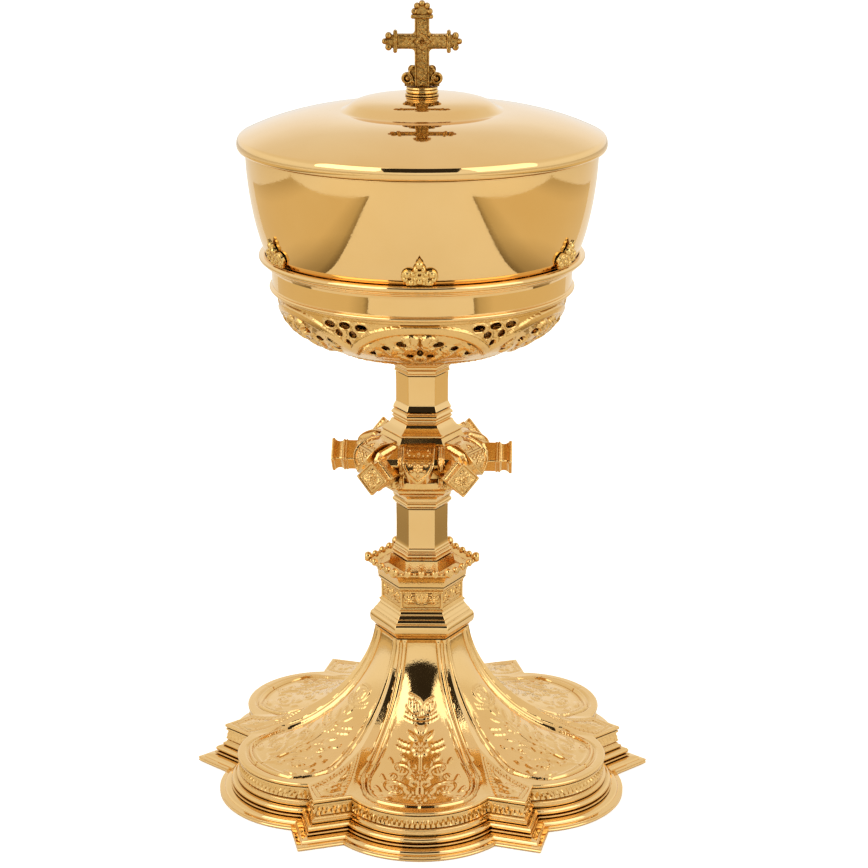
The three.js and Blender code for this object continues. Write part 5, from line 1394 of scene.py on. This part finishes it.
def brushed_steel():
    material, nodes, links, shader = node_material("brushed_steel", 1.0)
    place = nodes.new("ShaderNodeTexCoord")
    stretch = nodes.new("ShaderNodeMapping")
    stretch.inputs["Scale"].default_value = (60, 60, 900)
    links.new(place.outputs["Object"], stretch.inputs["Vector"])
    lines = nodes.new("ShaderNodeTexNoise")
    lines.inputs["Scale"].default_value = 6
    lines.inputs["Detail"].default_value = 6
    links.new(stretch.outputs["Vector"], lines.inputs["Vector"])
    tint = ramp_node(nodes, [(0.3, (0.42, 0.41, 0.39)), (0.7, (0.62, 0.61, 0.59))])
    links.new(lines.outputs["Fac"], tint.inputs["Fac"])
    links.new(tint.outputs["Color"], shader.inputs["Base Color"])
    polish = nodes.new("ShaderNodeMapRange")
    polish.inputs["To Min"].default_value = 0.25
    polish.inputs["To Max"].default_value = 0.45
    links.new(lines.outputs["Fac"], polish.inputs["Value"])
    links.new(polish.outputs["Result"], shader.inputs["Roughness"])
    bump = nodes.new("ShaderNodeBump")
    bump.inputs["Strength"].default_value = 0.15
    bump.inputs["Distance"].default_value = 0.0002
    links.new(lines.outputs["Fac"], bump.inputs["Height"])
    links.new(bump.outputs["Normal"], shader.inputs["Normal"])
    return material


POLISHED = gilt("polished_gilt", (0.86, 0.585, 0.255), (0.84, 0.555, 0.225), 0.03, 0.07, 900, 0.012)
WORKED = gilt("worked_gilt", (0.86, 0.58, 0.25), (0.82, 0.53, 0.20), 0.05, 0.12, 1400, 0.08, 2.2)
CAST = gilt("cast_gilt", (0.84, 0.55, 0.215), (0.78, 0.485, 0.165), 0.1, 0.2, 1600, 0.1, 2.4, 0.12)
ANTIQUE = gilt("antique_gilt", (0.66, 0.40, 0.12), (0.46, 0.26, 0.065), 0.2, 0.34, 1500, 0.2, 1.4, 0.8, 1150)
TRIM = gilt("trim_gilt", (0.88, 0.60, 0.215), (0.78, 0.50, 0.155), 0.14, 0.26, 1500, 0.15, 1.4, 0.3, 1300)
STEEL = brushed_steel()


# Assembly

piece("foot_flange_dress", foot_flange(), POLISHED, ["foot_flange"])
piece("foot_plinth_dress", foot_plinth(), WORKED, ["foot_plinth"])
piece("foot_sweep_dress", foot_sweep(), WORKED, ["foot_sweep"], crease=40)
piece("stem_collar_dress", stem_collar(), POLISHED, ["stem_collar"])
piece("frieze_drum_dress", frieze_drum(), CAST, ["frieze_drum"], crease=40)
piece("gallery_crown_dress", gallery_crown(), CAST, ["gallery_crown"])
piece("lower_shaft_dress", lower_shaft(), POLISHED, ["lower_shaft"])
piece("knop_lower_neck_dress", knop_lower_neck(), POLISHED, ["knop_lower_neck"])
piece("knop_upper_neck_dress", knop_upper_neck(), POLISHED, ["knop_upper_neck"])
piece("upper_shaft_dress", upper_shaft(), POLISHED, ["upper_shaft"])
piece("stem_capital_dress", stem_capital(), POLISHED, ["stem_capital"])
piece("knop_body_dress", knop_body(), CAST, ["knop_body"], crease=40)
arm = knop_arm()
arm_axis_z = (foot_of("knop_arm_1") + top_of("knop_arm_1")) / 2
shield = knop_shield()
finial = basket_finial()
for k in range(SIDES):
    points, faces = arm
    raised = points + np.array([0, 0, arm_axis_z])
    laid = turned_about_z(raised, HALF + KNOP_TURN + k * SECTOR), faces
    piece(f"knop_arm_{k + 1}_dress", Body(laid), CAST, [f"knop_arm_{k + 1}"])
    turned_shield = turned_about_z(shield[0], KNOP_TURN + k * SECTOR), shield[1]
    piece(f"knop_shield_{k + 1}_dress", Body(turned_shield), CAST, [f"knop_shield_{k + 1}"])
    piece(f"basket_finial_{k + 1}_dress", Body(stand_finial(finial, k)), TRIM,
          [f"basket_finial_{k + 1}"])
piece("basket_cage_dress", basket_cage(), CAST, ["basket_cage"], crease=40)
piece("basket_band_dress", basket_band(), POLISHED, ["basket_band"])
piece("cup_bowl_dress", cup_bowl(), POLISHED, ["cup_bowl"])
piece("lid_shell_dress", lid_shell(), POLISHED, ["lid_shell"], "lid")
piece("lid_bezel_dress", lid_bezel(), POLISHED, ["lid_bezel"], "lid")
piece("cross_finial_dress", cross_finial(), ANTIQUE, ["cross_finial"], "lid", crease=50)
piece("cross_base_dress", cross_base(), TRIM, ["cross_base"], "lid")

for node, material in [
    ("cup_boss", CAST), ("tie_rod", STEEL), ("tie_nut", STEEL), ("tie_washer", STEEL),
    ("finial_nut", STEEL), ("finial_washer", STEEL),
]:
    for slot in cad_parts[node].material_slots:
        slot.material = material


# Stage

def card(name, corners, material, hidden=True):
    mesh = bpy.data.meshes.new(name)
    mesh.from_pydata(corners, [], [(0, 1, 2, 3)])
    mesh.materials.append(material)
    thing = bpy.data.objects.new(name, mesh)
    bpy.context.scene.collection.objects.link(thing)
    if hidden:
        thing.visible_camera = False
        thing.visible_shadow = False
        thing.visible_diffuse = False
    return thing


def floor_material():
    material, nodes, links, shader = node_material("pale_floor", 0.0)
    shader.inputs["Base Color"].default_value = (0.74, 0.725, 0.67, 1)
    shader.inputs["Roughness"].default_value = 0.85
    path = nodes.new("ShaderNodeLightPath")
    shader.inputs["Emission Color"].default_value = (1, 1, 1, 1)
    scale = nodes.new("ShaderNodeMath")
    scale.operation = "MULTIPLY"
    scale.inputs[1].default_value = 0.62
    links.new(path.outputs["Is Camera Ray"], scale.inputs[0])
    links.new(scale.outputs[0], shader.inputs["Emission Strength"])
    return material


def flag_material(name, colour):
    material = bpy.data.materials.new(name)
    material.use_nodes = True
    nodes, links = material.node_tree.nodes, material.node_tree.links
    nodes.remove(nodes["Principled BSDF"])
    glow = nodes.new("ShaderNodeEmission")
    glow.inputs["Color"].default_value = (*colour, 1)
    links.new(glow.outputs["Emission"], nodes["Material Output"].inputs["Surface"])
    return material


def strip_material(name, side):
    """A strip that is darkest along its inner edge, where the bowl shows it as a seam, and darker near the object's
    foot, a painted shade of the object on the floor.
    """
    material = flag_material(name, STRIP_TONE)
    nodes, links = material.node_tree.nodes, material.node_tree.links
    place = nodes.new("ShaderNodeTexCoord")
    across = nodes.new("ShaderNodeVectorMath")
    across.operation = "DOT_PRODUCT"
    across.inputs[1].default_value = (side * 0.967, 0.254, 0)
    links.new(place.outputs["Object"], across.inputs[0])
    reach = nodes.new("ShaderNodeMapRange")
    reach.inputs["From Min"].default_value = STRIP_START
    reach.inputs["From Max"].default_value = STRIP_START + STRIP_WIDTH
    links.new(across.outputs["Value"], reach.inputs["Value"])
    seam = ramp_node(nodes, [(0.0, (0.36, 0.34, 0.3)), (0.05, (0.74, 0.73, 0.68)), (0.2, (1, 1, 1)),
                             (0.7, (1, 1, 1)), (1.0, (0.74, 0.73, 0.7))])
    links.new(reach.outputs["Result"], seam.inputs["Fac"])
    away = nodes.new("ShaderNodeVectorMath")
    away.operation = "LENGTH"
    links.new(place.outputs["Object"], away.inputs[0])
    # Painted shade: the strip darkens near the object, where the object's shade would fall on the floor.
    near = ramp_node(nodes, [(0.3, (0.66, 0.64, 0.62)), (0.45, (1, 1, 1))])
    links.new(away.outputs["Value"], near.inputs["Fac"])
    colour = nodes["Emission"].inputs["Color"].default_value
    for shade in (seam, near):
        mix = nodes.new("ShaderNodeMix")
        mix.data_type = "RGBA"
        mix.blend_type = "MULTIPLY"
        mix.inputs["Factor"].default_value = 1.0
        if shade is seam:
            mix.inputs[6].default_value = colour
        else:
            links.new(last.outputs[2], mix.inputs[6])
        links.new(shade.outputs["Color"], mix.inputs[7])
        last = mix
    links.new(last.outputs[2], nodes["Emission"].inputs["Color"])
    return material


FLOOR_HALF = 4.0
STRIP_TONE = (0.79, 0.66, 0.43)
STRIP_START, STRIP_WIDTH = 0.229, 0.7
card("floor", [(-FLOOR_HALF, -FLOOR_HALF, -0.0001), (FLOOR_HALF, -FLOOR_HALF, -0.0001),
               (FLOOR_HALF, FLOOR_HALF, -0.0001), (-FLOOR_HALF, FLOOR_HALF, -0.0001)], floor_material(), hidden=False)

# Seen only in reflections: dull strips on the floor at the sides, and the dark round the lens above
for side, name in [(-1, "left"), (1, "right")]:
    strip = [(0.41, -0.66), (1.05, 0.0), (0.62, 0.80), (0.20, 0.14)]
    card(f"floor_strip_{name}", [(side * x, y, 0.002) for x, y in strip],
         strip_material(f"floor_strip_{name}", side))
dark = flag_material("lens_shade", (0.03, 0.025, 0.02))
SHADE_HALF, SHADE_LOW, SHADE_HIGH = 0.36, (-0.93, 0.38), (-0.64, 1.06)
card("lens_shade", [(-SHADE_HALF, *SHADE_LOW), (SHADE_HALF, *SHADE_LOW), (SHADE_HALF, *SHADE_HIGH),
                    (-SHADE_HALF, *SHADE_HIGH)], dark)

world = bpy.data.worlds.new("studio")
bpy.context.scene.world = world
world.use_nodes = True
nodes, links = world.node_tree.nodes, world.node_tree.links
background = nodes["Background"]
path = nodes.new("ShaderNodeLightPath")
direction = nodes.new("ShaderNodeTexCoord")
split = nodes.new("ShaderNodeSeparateXYZ")
links.new(direction.outputs["Generated"], split.inputs[0])
sky = ramp_node(nodes, [
    (0.0, (0.86, 0.86, 0.86)), (0.25, (1.0, 1.0, 1.0)), (0.42, (1.0, 1.0, 1.0)), (0.58, (0.90, 0.87, 0.82)),
    (1.0, (0.87, 0.80, 0.74)),
])
lift = nodes.new("ShaderNodeMapRange")
lift.inputs["From Min"].default_value = -0.2
lift.inputs["From Max"].default_value = 1.0
links.new(split.outputs["Z"], lift.inputs["Value"])
links.new(lift.outputs["Result"], sky.inputs["Fac"])
seen = nodes.new("ShaderNodeMix")
seen.data_type = "RGBA"
seen.inputs[7].default_value = (1, 1, 1, 1)
links.new(path.outputs["Is Camera Ray"], seen.inputs["Factor"])
links.new(sky.outputs["Color"], seen.inputs[6])
links.new(seen.outputs[2], background.inputs["Color"])
background.inputs["Strength"].default_value = 1.0


def area_light(name, place, target, size, power):
    data = bpy.data.lights.new(name, "AREA")
    data.shape = "RECTANGLE"
    data.size, data.size_y = size
    data.energy = power
    lamp = bpy.data.objects.new(name, data)
    bpy.context.scene.collection.objects.link(lamp)
    lamp.location = place
    aim = (np.array(target) - np.array(place))
    lamp.rotation_mode = "QUATERNION"
    lamp.rotation_quaternion = Vector(aim).to_track_quat("-Z", "Y")
    return lamp


area_light("key_softbox", (-0.95, -0.9, 1.1), (0, 0, 0.15), (1.2, 1.2), 7)
area_light("fill_softbox", (1.0, -0.75, 0.9), (0, 0, 0.15), (1.1, 1.2), 4.5)
area_light("back_softbox", (0.1, 1.2, 1.0), (0, 0, 0.2), (1.2, 0.5), 5).visible_glossy = False

bpy.context.scene.view_settings.view_transform = "Standard"

# The photograph's viewpoint: 17 degrees above level, a little right of the middle
camera_data = bpy.data.cameras.new("camera")
camera_data.lens = 93.95
camera_data.sensor_width = 36
camera_data.shift_x = 0.0138
camera = bpy.data.objects.new("camera", camera_data)
bpy.context.scene.collection.objects.link(camera)
camera.location = (0.0115, -0.8135, 0.3852)
camera.rotation_euler = (math.radians(90 - 17.09), 0, math.radians(0.81))
bpy.context.scene.camera = camera
